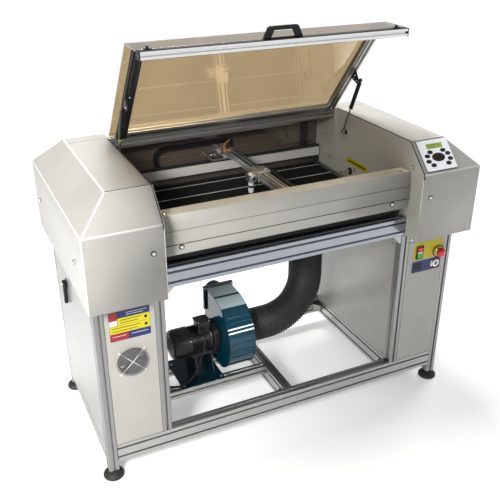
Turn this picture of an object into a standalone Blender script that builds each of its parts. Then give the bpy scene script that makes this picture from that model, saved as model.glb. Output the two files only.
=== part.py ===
"""Floor-standing laser cutter in metres, +Z up, front towards -Y.

Two cabinet pedestals of slotted aluminium profile carry two sheet-metal housings. The work bed lies
between the housings under a hinged tinted lid. A gantry runs left and right over the bed, and its head
runs front to back. An exhaust blower stands between the pedestals. The origin is the middle of the
footprint on the floor, and the lid stands open.
"""

import math

import bmesh
import bpy
from mathutils import Euler, Matrix, Vector

# Overall size.
WIDTH = 1.600
DEPTH = 0.825
TOP_Z = 1.173
FRONT_Y = -DEPTH / 2
REAR_Y = DEPTH / 2

# Housings: a box with a sloped front, rear and outer edge.
SHOULDER_Z = 1.068
SLOPE_RUN = TOP_Z - SHOULDER_Z
OUTER_RUN = 0.114
HOUSING_BOTTOM_Z = 0.787
INNER_X = 0.525
SHEET = 0.002
WALL_X = INNER_X - SHEET - 0.0003

# Slotted profile frame.
PROFILE = 0.040
RAIL_HEIGHT = 0.080
SLOT_WIDTH = 0.008
SLOT_DEPTH = 0.005
SLOT_UNDERCUT = 1.4
POST_Y = 0.3135
OUTER_POST_X = 0.756
INNER_POST_X = 0.533
FOOT_HEIGHT = 0.035
RAIL_BOTTOM_Z = 0.075
RAIL_TOP_Z = RAIL_BOTTOM_Z + RAIL_HEIGHT
POST_TOP_Z = 0.782
BEAM_TOP_Z = POST_TOP_Z + RAIL_HEIGHT

# Gap between pieces that touch, and how far united pieces reach into each other.
GAP = 0.0003
BITE = 0.001
INSET = 0.0005

# Lid: measured forwards and downwards from the hinge line, as if closed.
HINGE_Y = 0.2425
HINGE_Z = 1.178
LID_OPEN_ANGLE = math.radians(51.3)
LID_HALF_WIDTH = 0.520
LID_SHEET = 0.005
LID_FLAT = 0.530
SKIRT_ANGLE = math.radians(52.0)
SKIRT_LENGTH = 0.1205
LID_RAIL_IN_X = 0.455
LID_RAIL_OUT_X = 0.495
LID_RAIL_THICKNESS = 0.020
FRONT_RAIL = 0.030

# Gas struts: wall ball and lid eye, the eye again in lid measures.
STRUT_X = 0.510
STRUT_BALL = Vector((0.0, 0.1525, 1.088))
STRUT_EYE_FORWARD = 0.252
STRUT_EYE_DOWN = 0.056

# Bed, rails and gantry.
BED_TOP_Z = 0.890
BED_HALF_WIDTH = 0.490
GUIDE_TOP_Z = 0.972
BEAM_X = 0.052
BEAM_WIDTH = 0.040
GANTRY_BOTTOM_Z = 0.982
GANTRY_TOP_Z = 1.012
HEAD_Y = 0.0375
NOZZLE_X = 0.004
CHAIN_Y = (0.3735, 0.3905)

# Blower.
BLOWER_Y = 0.0025
BLOWER_Z = 0.305
SCROLL_X = (-0.185, -0.065)
DUCT_RADIUS = 0.075
DUCT_BEND = 0.195
DUCT_X = 0.255

ALUMINIUM = ((0.72, 0.73, 0.74), 0.32, 0.9)
GREY_PAINT = ((0.66, 0.66, 0.62), 0.40, 0.1)
BLACK_PLASTIC = ((0.02, 0.02, 0.022), 0.45, 0.0)
TEAL_PAINT = ((0.01, 0.16, 0.20), 0.30, 0.1)
TINTED_SHEET = ((0.45, 0.33, 0.20), 0.10, 0.0)
STEEL = ((0.80, 0.80, 0.80), 0.25, 1.0)
PANEL_SILVER = ((0.78, 0.78, 0.79), 0.40, 0.0)
RUBBER = ((0.03, 0.03, 0.03), 0.80, 0.0)
RED_PLASTIC = ((0.60, 0.01, 0.02), 0.35, 0.0)
GREEN_PLASTIC = ((0.02, 0.35, 0.08), 0.35, 0.0)


def clear_scene():
    for piece in list(bpy.data.objects):
        bpy.data.objects.remove(piece, do_unlink=True)


def collection(name):
    found = bpy.data.collections.new(name)
    bpy.context.scene.collection.children.link(found)
    return found


def link_piece(piece, look):
    """Puts a piece in the machine's collection with a material of its own."""
    colour, roughness, metallic = look
    material = bpy.data.materials.new(piece.name)
    material.use_nodes = True
    shader = material.node_tree.nodes["Principled BSDF"]
    shader.inputs["Base Color"].default_value = (*colour, 1.0)
    shader.inputs["Roughness"].default_value = roughness
    shader.inputs["Metallic"].default_value = metallic
    piece.data.materials.clear()
    piece.data.materials.append(material)
    if piece.name not in MACHINE.objects:
        MACHINE.objects.link(piece)
    if piece.name in WORK.objects:
        WORK.objects.unlink(piece)
    piece.hide_render = False
    piece.display_type = "TEXTURED"
    return piece


def work_piece(name, mesh):
    """A helper shape: it stays in the work collection unless link_piece takes it out."""
    piece = bpy.data.objects.new(name, mesh)
    WORK.objects.link(piece)
    piece.hide_render = True
    piece.display_type = "WIRE"
    return piece


def box(name, low, high):
    """A box between two opposite corners."""
    size = [b - a for a, b in zip(low, high)]
    shape = bmesh.new()
    bmesh.ops.create_cube(shape, size=1.0, matrix=Matrix.Diagonal((*size, 1.0)))
    mesh = bpy.data.meshes.new(name)
    shape.to_mesh(mesh)
    shape.free()
    piece = work_piece(name, mesh)
    piece.location = [(a + b) / 2 for a, b in zip(low, high)]
    return piece


def rod(name, start, end, radius, sides=24):
    """A round bar from one point to another."""
    along = Vector(end) - Vector(start)
    shape = bmesh.new()
    bmesh.ops.create_cone(shape, cap_ends=True, segments=sides, radius1=radius, radius2=radius,
                          depth=along.length)
    mesh = bpy.data.meshes.new(name)
    shape.to_mesh(mesh)
    shape.free()
    smooth(mesh)
    piece = work_piece(name, mesh)
    piece.location = (Vector(start) + Vector(end)) / 2
    piece.rotation_euler = along.to_track_quat("Z", "Y").to_euler()
    return piece


def smooth(mesh):
    mesh.shade_smooth()
    mesh.set_sharp_from_angle(angle=math.radians(35))


def as_mesh(piece, close=True):
    """Swaps a curve for its evaluated mesh, with its loose caps welded and its flat faces merged."""
    bpy.context.view_layer.update()
    graph = bpy.context.evaluated_depsgraph_get()
    mesh = bpy.data.meshes.new_from_object(piece.evaluated_get(graph))
    shape = bmesh.new()
    shape.from_mesh(mesh)
    bmesh.ops.remove_doubles(shape, verts=shape.verts, dist=0.00001)
    if close:
        bmesh.ops.dissolve_limit(shape, angle_limit=math.radians(0.1), verts=shape.verts, edges=shape.edges)
        bmesh.ops.recalc_face_normals(shape, faces=shape.faces)
    shape.to_mesh(mesh)
    shape.free()
    mesh.materials.clear()
    name = piece.name
    placed = piece.matrix_world.copy()
    bpy.data.objects.remove(piece, do_unlink=True)
    made = work_piece(name, mesh)
    made.matrix_world = placed
    return made


AXIS_TURN = {
    "X": Matrix(((0, 0, 1), (1, 0, 0), (0, 1, 0))).to_euler(),
    "Y": Matrix(((1, 0, 0), (0, 0, -1), (0, 1, 0))).to_euler(),
    "Z": Euler((0, 0, 0)),
}


def poly_curve(name, lines, cyclic):
    curve = bpy.data.curves.new(name, "CURVE")
    curve.dimensions = "2D"
    curve.fill_mode = "BOTH" if cyclic else "NONE"
    for line in lines:
        spline = curve.splines.new("POLY")
        spline.points.add(len(line) - 1)
        for point, (u, v) in zip(spline.points, line):
            point.co = (u, v, 0, 1)
        spline.use_cyclic_u = cyclic
    piece = bpy.data.objects.new(name, curve)
    WORK.objects.link(piece)
    return piece


def prism(name, outline, axis, start, end, holes=()):
    """A flat outline pushed along an axis: (y, z) along X, (x, z) along Y, (x, y) along Z."""
    piece = poly_curve(name, [outline, *holes], True)
    piece.data.extrude = (end - start) / 2
    middle = (start + end) / 2
    piece.location = {"X": (middle, 0, 0), "Y": (0, middle, 0), "Z": (0, 0, middle)}[axis]
    piece.rotation_euler = AXIS_TURN[axis]
    return as_mesh(piece)


def folded_sheet(name, line, start, end, thickness, offset):
    """A sheet bent along a (y, z) line and running along X, thickened to one side of the line."""
    piece = poly_curve(name, [line], False)
    piece.data.extrude = (end - start) / 2
    piece.location = ((start + end) / 2, 0, 0)
    piece.rotation_euler = AXIS_TURN["X"]
    piece = as_mesh(piece, close=False)
    thicken(piece, thickness, offset)
    return piece


def thicken(piece, thickness, offset):
    solid = piece.modifiers.new("Thickness", "SOLIDIFY")
    solid.thickness = thickness
    solid.offset = offset
    solid.use_even_offset = True


def turned(name, profile, base, axis, steps=32):
    """A profile of (radius, height) pairs turned about an axis through the base point."""
    mesh = bpy.data.meshes.new(name)
    shape = bmesh.new()
    points = [shape.verts.new((radius, 0, height)) for radius, height in profile]
    ends = list(zip(points, points[1:]))
    if profile[0][0] > 0:
        ends.append((points[-1], points[0]))
    for first, second in ends:
        shape.edges.new((first, second))
    shape.to_mesh(mesh)
    shape.free()
    piece = work_piece(name, mesh)
    piece.location = base
    piece.rotation_euler = Vector(axis).to_track_quat("Z", "Y").to_euler()
    screw = piece.modifiers.new("Turn", "SCREW")
    screw.steps = steps
    screw.render_steps = steps
    screw.use_merge_vertices = True
    screw.merge_threshold = 0.0001
    screw.use_smooth_shade = True
    return as_mesh(piece)


def combine(piece, other, operation):
    change = piece.modifiers.new(other.name, "BOOLEAN")
    change.operation = operation
    change.solver = "EXACT"
    change.object = other


def unite(piece, *others):
    for other in others:
        combine(piece, other, "UNION")
    return piece


def cut(piece, *others):
    for other in others:
        combine(piece, other, "DIFFERENCE")
    return piece


def round_edges(piece, width, segments=2, angle=40):
    edge = piece.modifiers.new("Rounded edges", "BEVEL")
    edge.width = width
    edge.segments = segments
    edge.limit_method = "ANGLE"
    edge.angle_limit = math.radians(angle)
    edge.harden_normals = False


def ellipse(centre, half_width, half_height, sides=32):
    return [(centre[0] + half_width * math.cos(2 * math.pi * i / sides),
             centre[1] + half_height * math.sin(2 * math.pi * i / sides)) for i in range(sides)]


def circle(centre, radius, sides=32):
    return ellipse(centre, radius, radius, sides)


def rectangle(low, high):
    return [(low[0], low[1]), (high[0], low[1]), (high[0], high[1]), (low[0], high[1])]


def slotted_outline(centre, width, height):
    """The outline of a slotted profile: a rectangle with one slot for each 40 mm of every side."""
    corners = [(-1, -1), (1, -1), (1, 1), (-1, 1)]
    sizes = [width, height, width, height]
    points = []
    for (cu, cv), size, (du, dv) in zip(corners, sizes, [(1, 0), (0, 1), (-1, 0), (0, -1)]):
        corner = (cu * width / 2, cv * height / 2)
        points.append(corner)
        for index in range(max(1, round(size / PROFILE))):
            middle = (index + 0.5) * PROFILE
            for along, deep in ((-1, 0), (-SLOT_UNDERCUT, 1), (SLOT_UNDERCUT, 1), (1, 0)):
                run = middle + along * SLOT_WIDTH / 2
                points.append((corner[0] + du * run - dv * deep * SLOT_DEPTH,
                               corner[1] + dv * run + du * deep * SLOT_DEPTH))
    return [(centre[0] + u, centre[1] + v) for u, v in points]


def bar(name, axis, centre, width, height, start, end):
    """A slotted profile along an axis; centre is in the two other axes."""
    return prism(name, slotted_outline(centre, width, height), axis, start, end)


# --- Frame -----------------------------------------------------------------------------------------

def base_frame():
    """Front and rear rails with rails between them: under the inner posts, mid way and for the blower."""
    reach = OUTER_POST_X - PROFILE / 2 - GAP
    middle_z = (RAIL_BOTTOM_Z + RAIL_TOP_Z) / 2
    between = POST_Y - PROFILE / 2 + BITE
    front = bar("base_frame", "X", (-POST_Y, middle_z), PROFILE, RAIL_HEIGHT, -reach, reach)
    others = [bar("base_rear_rail", "X", (POST_Y, middle_z), PROFILE, RAIL_HEIGHT, -reach, reach)]
    for name, x in (("left", -INNER_POST_X), ("mid", 0.020), ("right", INNER_POST_X)):
        others.append(bar(f"base_{name}_rail", "Y", (x, middle_z), PROFILE, RAIL_HEIGHT - 2 * INSET,
                          -between, between))
    for name, y in (("front", -0.1025), ("back", 0.0575)):
        others.append(bar(f"base_{name}_blower_rail", "X", (y, RAIL_TOP_Z - PROFILE / 2 - 2 * INSET),
                          PROFILE, PROFILE - 2 * INSET, -INNER_POST_X + PROFILE / 2 - BITE, BITE))
    return link_piece(unite(front, *others), ALUMINIUM)


def pedestal_frame(name, side):
    """Four posts with rails at the top, and one lower rail between the two outer posts."""
    between = POST_Y - PROFILE / 2 + BITE
    top_z = POST_TOP_Z - PROFILE / 2
    outer_x = side * OUTER_POST_X
    inner_x = side * INNER_POST_X
    first = None
    posts = []
    for x, bottom in ((outer_x, FOOT_HEIGHT), (inner_x, RAIL_TOP_Z + GAP)):
        for y in (-POST_Y, POST_Y):
            post = bar(name if first is None else f"{name}_post", "Z", (x, y), PROFILE, PROFILE,
                       bottom, POST_TOP_Z)
            first = first or post
            posts.append(post)
    rails = []
    for x in (outer_x, inner_x):
        rails.append(bar(f"{name}_top_rail", "Y", (x, top_z), PROFILE - 2 * INSET, PROFILE - 2 * INSET,
                         -between, between))
    rails.append(bar(f"{name}_low_rail", "Y", (outer_x, RAIL_TOP_Z - RAIL_HEIGHT / 2),
                     PROFILE - 2 * INSET, RAIL_HEIGHT, -between, between))
    low, high = sorted((side * (INNER_POST_X + PROFILE / 2 - BITE), side * (OUTER_POST_X - PROFILE / 2 + BITE)))
    for y in (-POST_Y, POST_Y):
        rails.append(bar(f"{name}_cross_rail", "X", (y, top_z), PROFILE - 2 * INSET, PROFILE - 2 * INSET,
                         low, high))
    return link_piece(unite(first, *posts[1:], *rails), ALUMINIUM)


def cross_beam(name, y):
    """The beam across the top of the pedestals, which carries both housings."""
    reach = OUTER_POST_X + PROFILE / 2
    return link_piece(bar(name, "X", (y, (POST_TOP_Z + GAP + BEAM_TOP_Z) / 2), PROFILE,
                          RAIL_HEIGHT - GAP, -reach, reach), ALUMINIUM)


def foot(name, x, y):
    """A round levelling foot, domed up to its neck."""
    top = FOOT_HEIGHT - GAP
    profile = [(0, top), (0.013, top), (0.013, 0.026), (0.024, 0.023), (0.036, 0.015), (0.040, 0.009),
               (0.040, 0.002), (0.038, 0), (0, 0)]
    return link_piece(turned(name, profile, (x, y, 0), (0, 0, 1), 24), RUBBER)


def floor_pan():
    """The sheet between the beams that closes the chamber, with the duct's hole."""
    reach = POST_Y - PROFILE / 2 - GAP
    pan = prism("floor_pan", rectangle((-WALL_X + GAP, -reach), (WALL_X - GAP, reach)), "Z", 0.7905, 0.7930,
                [circle((DUCT_X, BLOWER_Y), DUCT_RADIUS - 0.005)])
    return link_piece(pan, GREY_PAINT)


# --- Housings and covers ---------------------------------------------------------------------------

def housing_shell(name, side):
    """A sheet-metal housing, open below and on the side of the bed."""
    shape = bmesh.new()
    outer_x = WIDTH / 2
    bmesh.ops.create_cube(shape, size=1.0)
    for vert in shape.verts:
        vert.co.x = side * (outer_x if vert.co.x > 0 else INNER_X)
        vert.co.y *= DEPTH
        vert.co.z = SHOULDER_Z if vert.co.z > 0 else HOUSING_BOTTOM_Z
    shape.normal_update()
    bmesh.ops.recalc_face_normals(shape, faces=shape.faces)
    top = max(shape.faces, key=lambda face: face.calc_center_median().z)
    lifted = bmesh.ops.extrude_face_region(shape, geom=[top])["geom"]
    bmesh.ops.delete(shape, geom=[top], context="FACES")
    for vert in (item for item in lifted if isinstance(item, bmesh.types.BMVert)):
        vert.co.z = TOP_Z
        vert.co.y -= math.copysign(SLOPE_RUN, vert.co.y)
        if abs(vert.co.x) > outer_x - OUTER_RUN:
            vert.co.x -= side * OUTER_RUN
    shape.normal_update()
    open_faces = [face for face in shape.faces
                  if face.normal.z < -0.99 or face.normal.x * side < -0.99]
    bmesh.ops.delete(shape, geom=open_faces, context="FACES")
    bmesh.ops.recalc_face_normals(shape, faces=shape.faces)
    outward = max(shape.faces, key=lambda face: face.calc_center_median().z)
    if outward.normal.z < 0:
        bmesh.ops.reverse_faces(shape, faces=shape.faces)
    mesh = bpy.data.meshes.new(name)
    shape.to_mesh(mesh)
    shape.free()
    piece = work_piece(name, mesh)
    round_edges(piece, 0.004, 2, 20)
    thicken(piece, SHEET, -1)
    return link_piece(piece, GREY_PAINT)


def inner_wall(name, side):
    """The sheet between a housing and the bed, notched over the beams, with the strut's stud on it."""
    start, end = sorted((side * WALL_X, side * (WALL_X + SHEET)))
    edge = 0.001
    low = HOUSING_BOTTOM_Z
    top = BEAM_TOP_Z + 0.001
    notch = PROFILE / 2 + 0.001
    outline = [(FRONT_Y + edge, low), (-POST_Y - notch, low), (-POST_Y - notch, top), (-POST_Y + notch, top),
               (-POST_Y + notch, low), (POST_Y - notch, low), (POST_Y - notch, top), (POST_Y + notch, top),
               (POST_Y + notch, low), (REAR_Y - edge, low), (REAR_Y - edge, SHOULDER_Z),
               (REAR_Y - SLOPE_RUN, TOP_Z - edge), (FRONT_Y + SLOPE_RUN, TOP_Z - edge),
               (FRONT_Y + edge, SHOULDER_Z)]
    wall = prism(name, outline, "X", start, end)
    ball_x = STRUT_X + 0.005
    stud = rod(f"{name}_stud", (side * ball_x, STRUT_BALL.y, STRUT_BALL.z),
               (side * (WALL_X + BITE), STRUT_BALL.y, STRUT_BALL.z), 0.005, 16)
    return link_piece(unite(wall, stud), GREY_PAINT)


def front_fascia():
    """The folded sheet under the closed lid's front rail: a ledge, a sloping face and a foot."""
    line = [(-0.2715, 1.058), (-0.3295, 1.058), (-0.3395, 1.001), (-0.3395, 0.949), (-0.3325, 0.906),
            (-0.3125, 0.906)]
    piece = folded_sheet("front_fascia", line, -WALL_X + GAP, WALL_X - GAP, SHEET, 1)
    return link_piece(piece, GREY_PAINT)


def rear_cover():
    """The folded sheet that closes the back between the housings, with a window cut through it."""
    line = [(0.2495, TOP_Z), (REAR_Y - SLOPE_RUN, TOP_Z), (REAR_Y, SHOULDER_Z), (REAR_Y, HOUSING_BOTTOM_Z),
            (REAR_Y - 0.020, HOUSING_BOTTOM_Z)]
    piece = folded_sheet("rear_cover", line, -WALL_X + GAP, WALL_X - GAP, SHEET, -1)
    opening = box("rear_cover_opening", (-0.42, 0.405, 0.87), (0.42, 0.42, 1.04))
    return link_piece(cut(piece, opening), GREY_PAINT)


def rear_window():
    return link_piece(box("rear_window", (-0.520, 0.3965, 0.795), (0.520, 0.4000, 1.070)), TINTED_SHEET)


def hinge_beam():
    reach = WALL_X - GAP
    return link_piece(bar("hinge_beam", "X", (0.2675, 1.150), PROFILE, PROFILE, -reach, reach), ALUMINIUM)


def panel(name, low, high, holes=()):
    """A flat sheet in a pedestal's side; the thin direction is the one of SHEET's size."""
    sizes = [b - a for a, b in zip(low, high)]
    thin = sizes.index(min(sizes))
    axis = "XYZ"[thin]
    keep = [i for i in range(3) if i != thin]
    outline = rectangle([low[i] for i in keep], [high[i] for i in keep])
    return prism(name, outline, axis, low[thin], high[thin], holes)


def pedestal_panels(prefix, side):
    """The side, inner and rear sheets of a pedestal."""
    low_z = RAIL_TOP_Z + GAP
    high_z = POST_TOP_Z - PROFILE - GAP
    reach = POST_Y - PROFILE / 2 - GAP
    outer = side * (OUTER_POST_X + PROFILE / 2 - 0.0005)
    inner = side * (INNER_POST_X - PROFILE / 2 + 0.0005)
    start, end = sorted((outer, outer - side * SHEET))
    link_piece(panel(f"{prefix}_side_panel", (start, -reach, low_z), (end, reach, high_z)), GREY_PAINT)
    start, end = sorted((inner, inner + side * SHEET))
    link_piece(panel(f"{prefix}_inner_panel", (start, -reach, low_z), (end, reach, high_z)), GREY_PAINT)
    start, end = panel_span(side)
    back = POST_Y + PROFILE / 2 - 0.0005
    link_piece(panel(f"{prefix}_rear_panel", (start, back - SHEET, low_z), (end, back, high_z)), GREY_PAINT)


def panel_span(side):
    """The width between the inner and outer posts on one side."""
    return sorted((side * (INNER_POST_X + PROFILE / 2 + GAP), side * (OUTER_POST_X - PROFILE / 2 - GAP)))


def front_panel(name, side, holes):
    start, end = panel_span(side)
    front = -POST_Y - PROFILE / 2 + 0.0005
    return panel(name, (start, front, RAIL_TOP_Z + GAP), (end, front + SHEET, POST_TOP_Z - PROFILE - GAP), holes)


PANEL_FRONT_Y = -POST_Y - PROFILE / 2 + 0.0005
FAN_CENTRE = (-0.648, 0.517)
ESTOP_CENTRE = (0.710, 0.673)
KEY_CENTRE = (0.700, 0.620)
SWITCH_LOW = (0.594, 0.657)
SWITCH_HIGH = (0.628, 0.716)
LATCH_PIN = (0.1075, 0.650)


def front_panels():
    """The left one holds the cabinet fan, the right one the switches with their collars."""
    link_piece(front_panel("left_front_panel", -1, [circle(FAN_CENTRE, 0.055)]), GREY_PAINT)
    inside = 0.003
    switch_hole = rectangle((SWITCH_LOW[0] + inside, SWITCH_LOW[1] + inside),
                            (SWITCH_HIGH[0] - inside, SWITCH_HIGH[1] - inside))
    right = front_panel("right_front_panel", 1, [circle(ESTOP_CENTRE, 0.0115), circle(KEY_CENTRE, 0.0095),
                                                 switch_hole])
    collar = prism("estop_collar", circle(ESTOP_CENTRE, 0.0165), "Y", PANEL_FRONT_Y - 0.010,
                   PANEL_FRONT_Y + INSET, [circle(ESTOP_CENTRE, 0.0120)])
    key_collar = prism("key_collar", circle(KEY_CENTRE, 0.0175), "Y", PANEL_FRONT_Y - 0.007,
                       PANEL_FRONT_Y + INSET, [circle(KEY_CENTRE, 0.0100)])
    bezel = prism("switch_bezel", rectangle(SWITCH_LOW, SWITCH_HIGH), "Y", PANEL_FRONT_Y - 0.006,
                  PANEL_FRONT_Y + INSET, [rectangle((SWITCH_LOW[0] + 0.0035, SWITCH_LOW[1] + 0.0035),
                                                    (SWITCH_HIGH[0] - 0.0035, SWITCH_HIGH[1] - 0.0035))])
    link_piece(unite(right, collar, key_collar, bezel), GREY_PAINT)


# --- Controls --------------------------------------------------------------------------------------

def estop_button():
    """A mushroom head on a stem through the panel."""
    profile = [(0, 0.033), (0.012, 0.0315), (0.019, 0.027), (0.021, 0.022), (0.021, 0.017), (0.017, 0.0155),
               (0.0105, 0.0155), (0.0105, -0.012), (0, -0.012)]
    base = (ESTOP_CENTRE[0], PANEL_FRONT_Y, ESTOP_CENTRE[1])
    return link_piece(turned("estop_button", profile, base, (0, -1, 0), 24), RED_PLASTIC)


def rocker_button(name, low_z, high_z, look):
    """One of the two square push buttons in the switch's bezel."""
    button = box(name, (SWITCH_LOW[0] + 0.0045, PANEL_FRONT_Y - 0.009, low_z),
                 (SWITCH_HIGH[0] - 0.0045, PANEL_FRONT_Y + 0.008, high_z))
    round_edges(button, 0.0015, 1)
    return link_piece(button, look)


def key_switch():
    """The lock's turning barrel with the key's slot across it."""
    base = (KEY_CENTRE[0], PANEL_FRONT_Y, KEY_CENTRE[1])
    profile = [(0, 0.010), (0.0080, 0.010), (0.0088, 0.009), (0.0088, -0.012), (0, -0.012)]
    barrel = turned("key_switch", profile, base, (0, -1, 0), 24)
    slot = box("key_slot", (base[0] - 0.001, base[1] - 0.012, base[2] - 0.005),
               (base[0] + 0.001, base[1] - 0.006, base[2] + 0.005))
    return link_piece(cut(barrel, slot), STEEL)


def slope_frame():
    """Carries shapes drawn on a flat plane to the right housing's front slope."""
    origin = Vector((0, FRONT_Y, SHOULDER_Z))
    up = Vector((0, 1, 1)).normalized()
    normal = Vector((0, -1, 1)).normalized()
    turn = Matrix((Vector((1, 0, 0)), up, normal)).transposed().to_4x4()
    return Matrix.Translation(origin) @ turn


KEYPAD_LOW = (0.544, 0.0115)
KEYPAD_HIGH = (0.6865, 0.142)
KEYPAD_THICKNESS = 0.005
NAV_CENTRE = (0.618, 0.065)
NAV_SIZE = (0.0305, 0.0185)
KEY_BUTTON_SIZE = (0.0100, 0.0066)
KEY_CLEARANCE = 0.0005
KEY_BUTTON_SPREAD = [(-0.0303, 0.025), (-0.0493, 0.010), (-0.052, -0.013), (-0.036, -0.031),
                     (0.032, 0.026), (0.049, 0.010), (0.0515, -0.013), (0.0356, -0.031)]


def key_button_centres():
    """The eight small keys stand around the oval pad, four on each side."""
    return [(NAV_CENTRE[0] + du, NAV_CENTRE[1] + dv) for du, dv in KEY_BUTTON_SPREAD]


def key_outline(centre, size, clearance=0.0):
    """An oval key's outline, or its hole's outline when a clearance is given."""
    return ellipse(centre, size[0] + clearance, size[1] + clearance, 24)


def keypad_panel():
    """The control panel's plate with a recess for the display and holes for the oval pad and keys."""
    holes = [key_outline(NAV_CENTRE, NAV_SIZE, KEY_CLEARANCE)]
    holes += [key_outline(centre, KEY_BUTTON_SIZE, KEY_CLEARANCE) for centre in key_button_centres()]
    plate = prism("keypad_panel", rectangle(KEYPAD_LOW, KEYPAD_HIGH), "Z", GAP, KEYPAD_THICKNESS, holes)
    display = box("display_recess", (0.580, 0.104, KEYPAD_THICKNESS - 0.001),
                  (0.656, 0.125, KEYPAD_THICKNESS + 0.005))
    place = slope_frame()
    bpy.context.view_layer.update()
    plate.matrix_world = place @ plate.matrix_world
    display.matrix_world = place @ display.matrix_world
    return link_piece(cut(plate, display), PANEL_SILVER)


def slope_button(name, centre, size):
    """An oval key that stands about 1 mm above the keypad and can sink by 1 mm."""
    button = prism(name, key_outline(centre, size), "Z", 0.0018, KEYPAD_THICKNESS + 0.0013)
    bpy.context.view_layer.update()
    button.matrix_world = slope_frame() @ button.matrix_world
    return link_piece(button, BLACK_PLASTIC)


def keypad():
    keypad_panel()
    slope_button("nav_disc", NAV_CENTRE, NAV_SIZE)
    for index, centre in enumerate(key_button_centres(), 1):
        slope_button(f"keypad_button_{index}", centre, KEY_BUTTON_SIZE)


def panel_latch():
    """A wing handle on the left side panel, turning about a pin near its top."""
    face = -OUTER_POST_X - PROFILE / 2 + 0.0005 - GAP
    wing = [(-0.0135, 0.010), (0.0135, 0.010), (0.0175, -0.004), (0.0115, -0.038), (0.0085, -0.090),
            (-0.0085, -0.090), (-0.0115, -0.038), (-0.0175, -0.004)]
    plate = prism("panel_latch", wing, "X", face - 0.016, face)
    plate.location.y, plate.location.z = LATCH_PIN
    round_edges(plate, 0.003, 2)
    return link_piece(plate, BLACK_PLASTIC)


def cabinet_fan_rotor():
    """The hub and blades behind the fan's hole."""
    y = PANEL_FRONT_Y + SHEET + 0.004
    x, z = FAN_CENTRE
    rotor = rod("cabinet_fan_rotor", (x, y, z), (x, y + 0.022, z), 0.020, 24)
    blades = []
    count = 7
    for index in range(count):
        blade = box(f"fan_blade_{index}", (-0.011, -0.0008, 0.016), (0.011, 0.0008, 0.053))
        spin = Matrix.Rotation(2 * math.pi * index / count, 4, "Y")
        pitch = Matrix.Rotation(math.radians(38), 4, "Z")
        bpy.context.view_layer.update()
        blade.matrix_world = Matrix.Translation((x, y + 0.011, z)) @ spin @ pitch @ blade.matrix_world
        blades.append(blade)
    return link_piece(unite(rotor, *blades), BLACK_PLASTIC)


# --- Lid -------------------------------------------------------------------------------------------

def skirt_point(along, inward):
    """A point of the bent skirt as (forward, down): along it from the bend, and inward from its skin."""
    return (LID_FLAT + along * math.cos(SKIRT_ANGLE) - inward * math.sin(SKIRT_ANGLE),
            along * math.sin(SKIRT_ANGLE) + inward * math.cos(SKIRT_ANGLE))


def lid_line(points):
    """Turns (forward, down) pairs into (y, z) pairs about the hinge."""
    return [(-forward, -down) for forward, down in points]


def hang_on_lid(piece, hinge):
    """Parents a piece drawn closed about the hinge, and the shapes it is made from, to the hinge empty."""
    piece.parent = hinge
    for change in piece.modifiers:
        if change.type == "BOOLEAN":
            change.object.parent = hinge
    return piece


def lid_sheet(hinge):
    """One tinted sheet: flat over the bed, then bent down at the front."""
    line = lid_line([(0.003, 0), (LID_FLAT, 0), skirt_point(SKIRT_LENGTH, 0)])
    sheet = folded_sheet("lid_sheet", line, -LID_HALF_WIDTH, LID_HALF_WIDTH, LID_SHEET, 1)
    return hang_on_lid(link_piece(sheet, TINTED_SHEET), hinge)


def lid_frame(hinge):
    """Two side rails that follow the bend, a rear rail between them and the struts' brackets."""
    near = LID_SHEET + GAP
    far = near + LID_RAIL_THICKNESS
    half = SKIRT_ANGLE / 2
    shift_near = near * math.tan(half)
    shift_far = far * math.tan(half)
    side = lid_line([(0.003, near), (LID_FLAT - shift_near, near), skirt_point(SKIRT_LENGTH, near),
                     skirt_point(SKIRT_LENGTH, far), (LID_FLAT - shift_far, far), (0.003, far)])
    frame = prism("lid_frame", side, "X", -LID_RAIL_OUT_X, -LID_RAIL_IN_X)
    others = [prism("lid_right_rail", side, "X", LID_RAIL_IN_X, LID_RAIL_OUT_X)]
    others.append(box("lid_rear_rail", (-LID_RAIL_IN_X - BITE, -0.042, -far + INSET),
                      (LID_RAIL_IN_X + BITE, -0.004, -near - INSET)))
    reach = STRUT_EYE_DOWN + 0.010
    plate = [(-STRUT_EYE_FORWARD - 0.022, -far + 0.004), (-STRUT_EYE_FORWARD + 0.022, -far + 0.004),
             (-STRUT_EYE_FORWARD + 0.009, -reach), (-STRUT_EYE_FORWARD - 0.009, -reach)]
    for side_sign in (-1, 1):
        start, end = sorted((side_sign * (LID_RAIL_OUT_X - 0.005), side_sign * (LID_RAIL_OUT_X - INSET)))
        others.append(prism(f"strut_bracket_{side_sign}", plate, "X", start, end))
        others.append(rod(f"strut_stud_{side_sign}",
                          (side_sign * (LID_RAIL_OUT_X - 0.002), -STRUT_EYE_FORWARD, -STRUT_EYE_DOWN),
                          (side_sign * (STRUT_X - 0.0105), -STRUT_EYE_FORWARD, -STRUT_EYE_DOWN), 0.004, 16))
    return hang_on_lid(link_piece(unite(frame, *others), ALUMINIUM), hinge)


def lid_front_rail(hinge):
    """The square profile along the lid's front edge, turned with the skirt."""
    forward, down = skirt_point(SKIRT_LENGTH + GAP + FRONT_RAIL / 2, FRONT_RAIL / 2)
    outline = []
    half = FRONT_RAIL / 2
    slot = 0.003
    for quarter in range(4):
        angle = quarter * math.pi / 2
        for u, v in ((-half, -half), (-slot, -half), (-slot, -half + 0.004), (slot, -half + 0.004), (slot, -half)):
            outline.append((u * math.cos(angle) - v * math.sin(angle), u * math.sin(angle) + v * math.cos(angle)))
    rail = prism("lid_front_rail", outline, "X", -0.518, 0.518)
    rail.location = (0, -forward, -down)
    rail.rotation_euler = (Matrix.Rotation(SKIRT_ANGLE, 3, "X") @ AXIS_TURN["X"].to_matrix()).to_euler()
    return hang_on_lid(link_piece(rail, ALUMINIUM), hinge)


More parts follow.
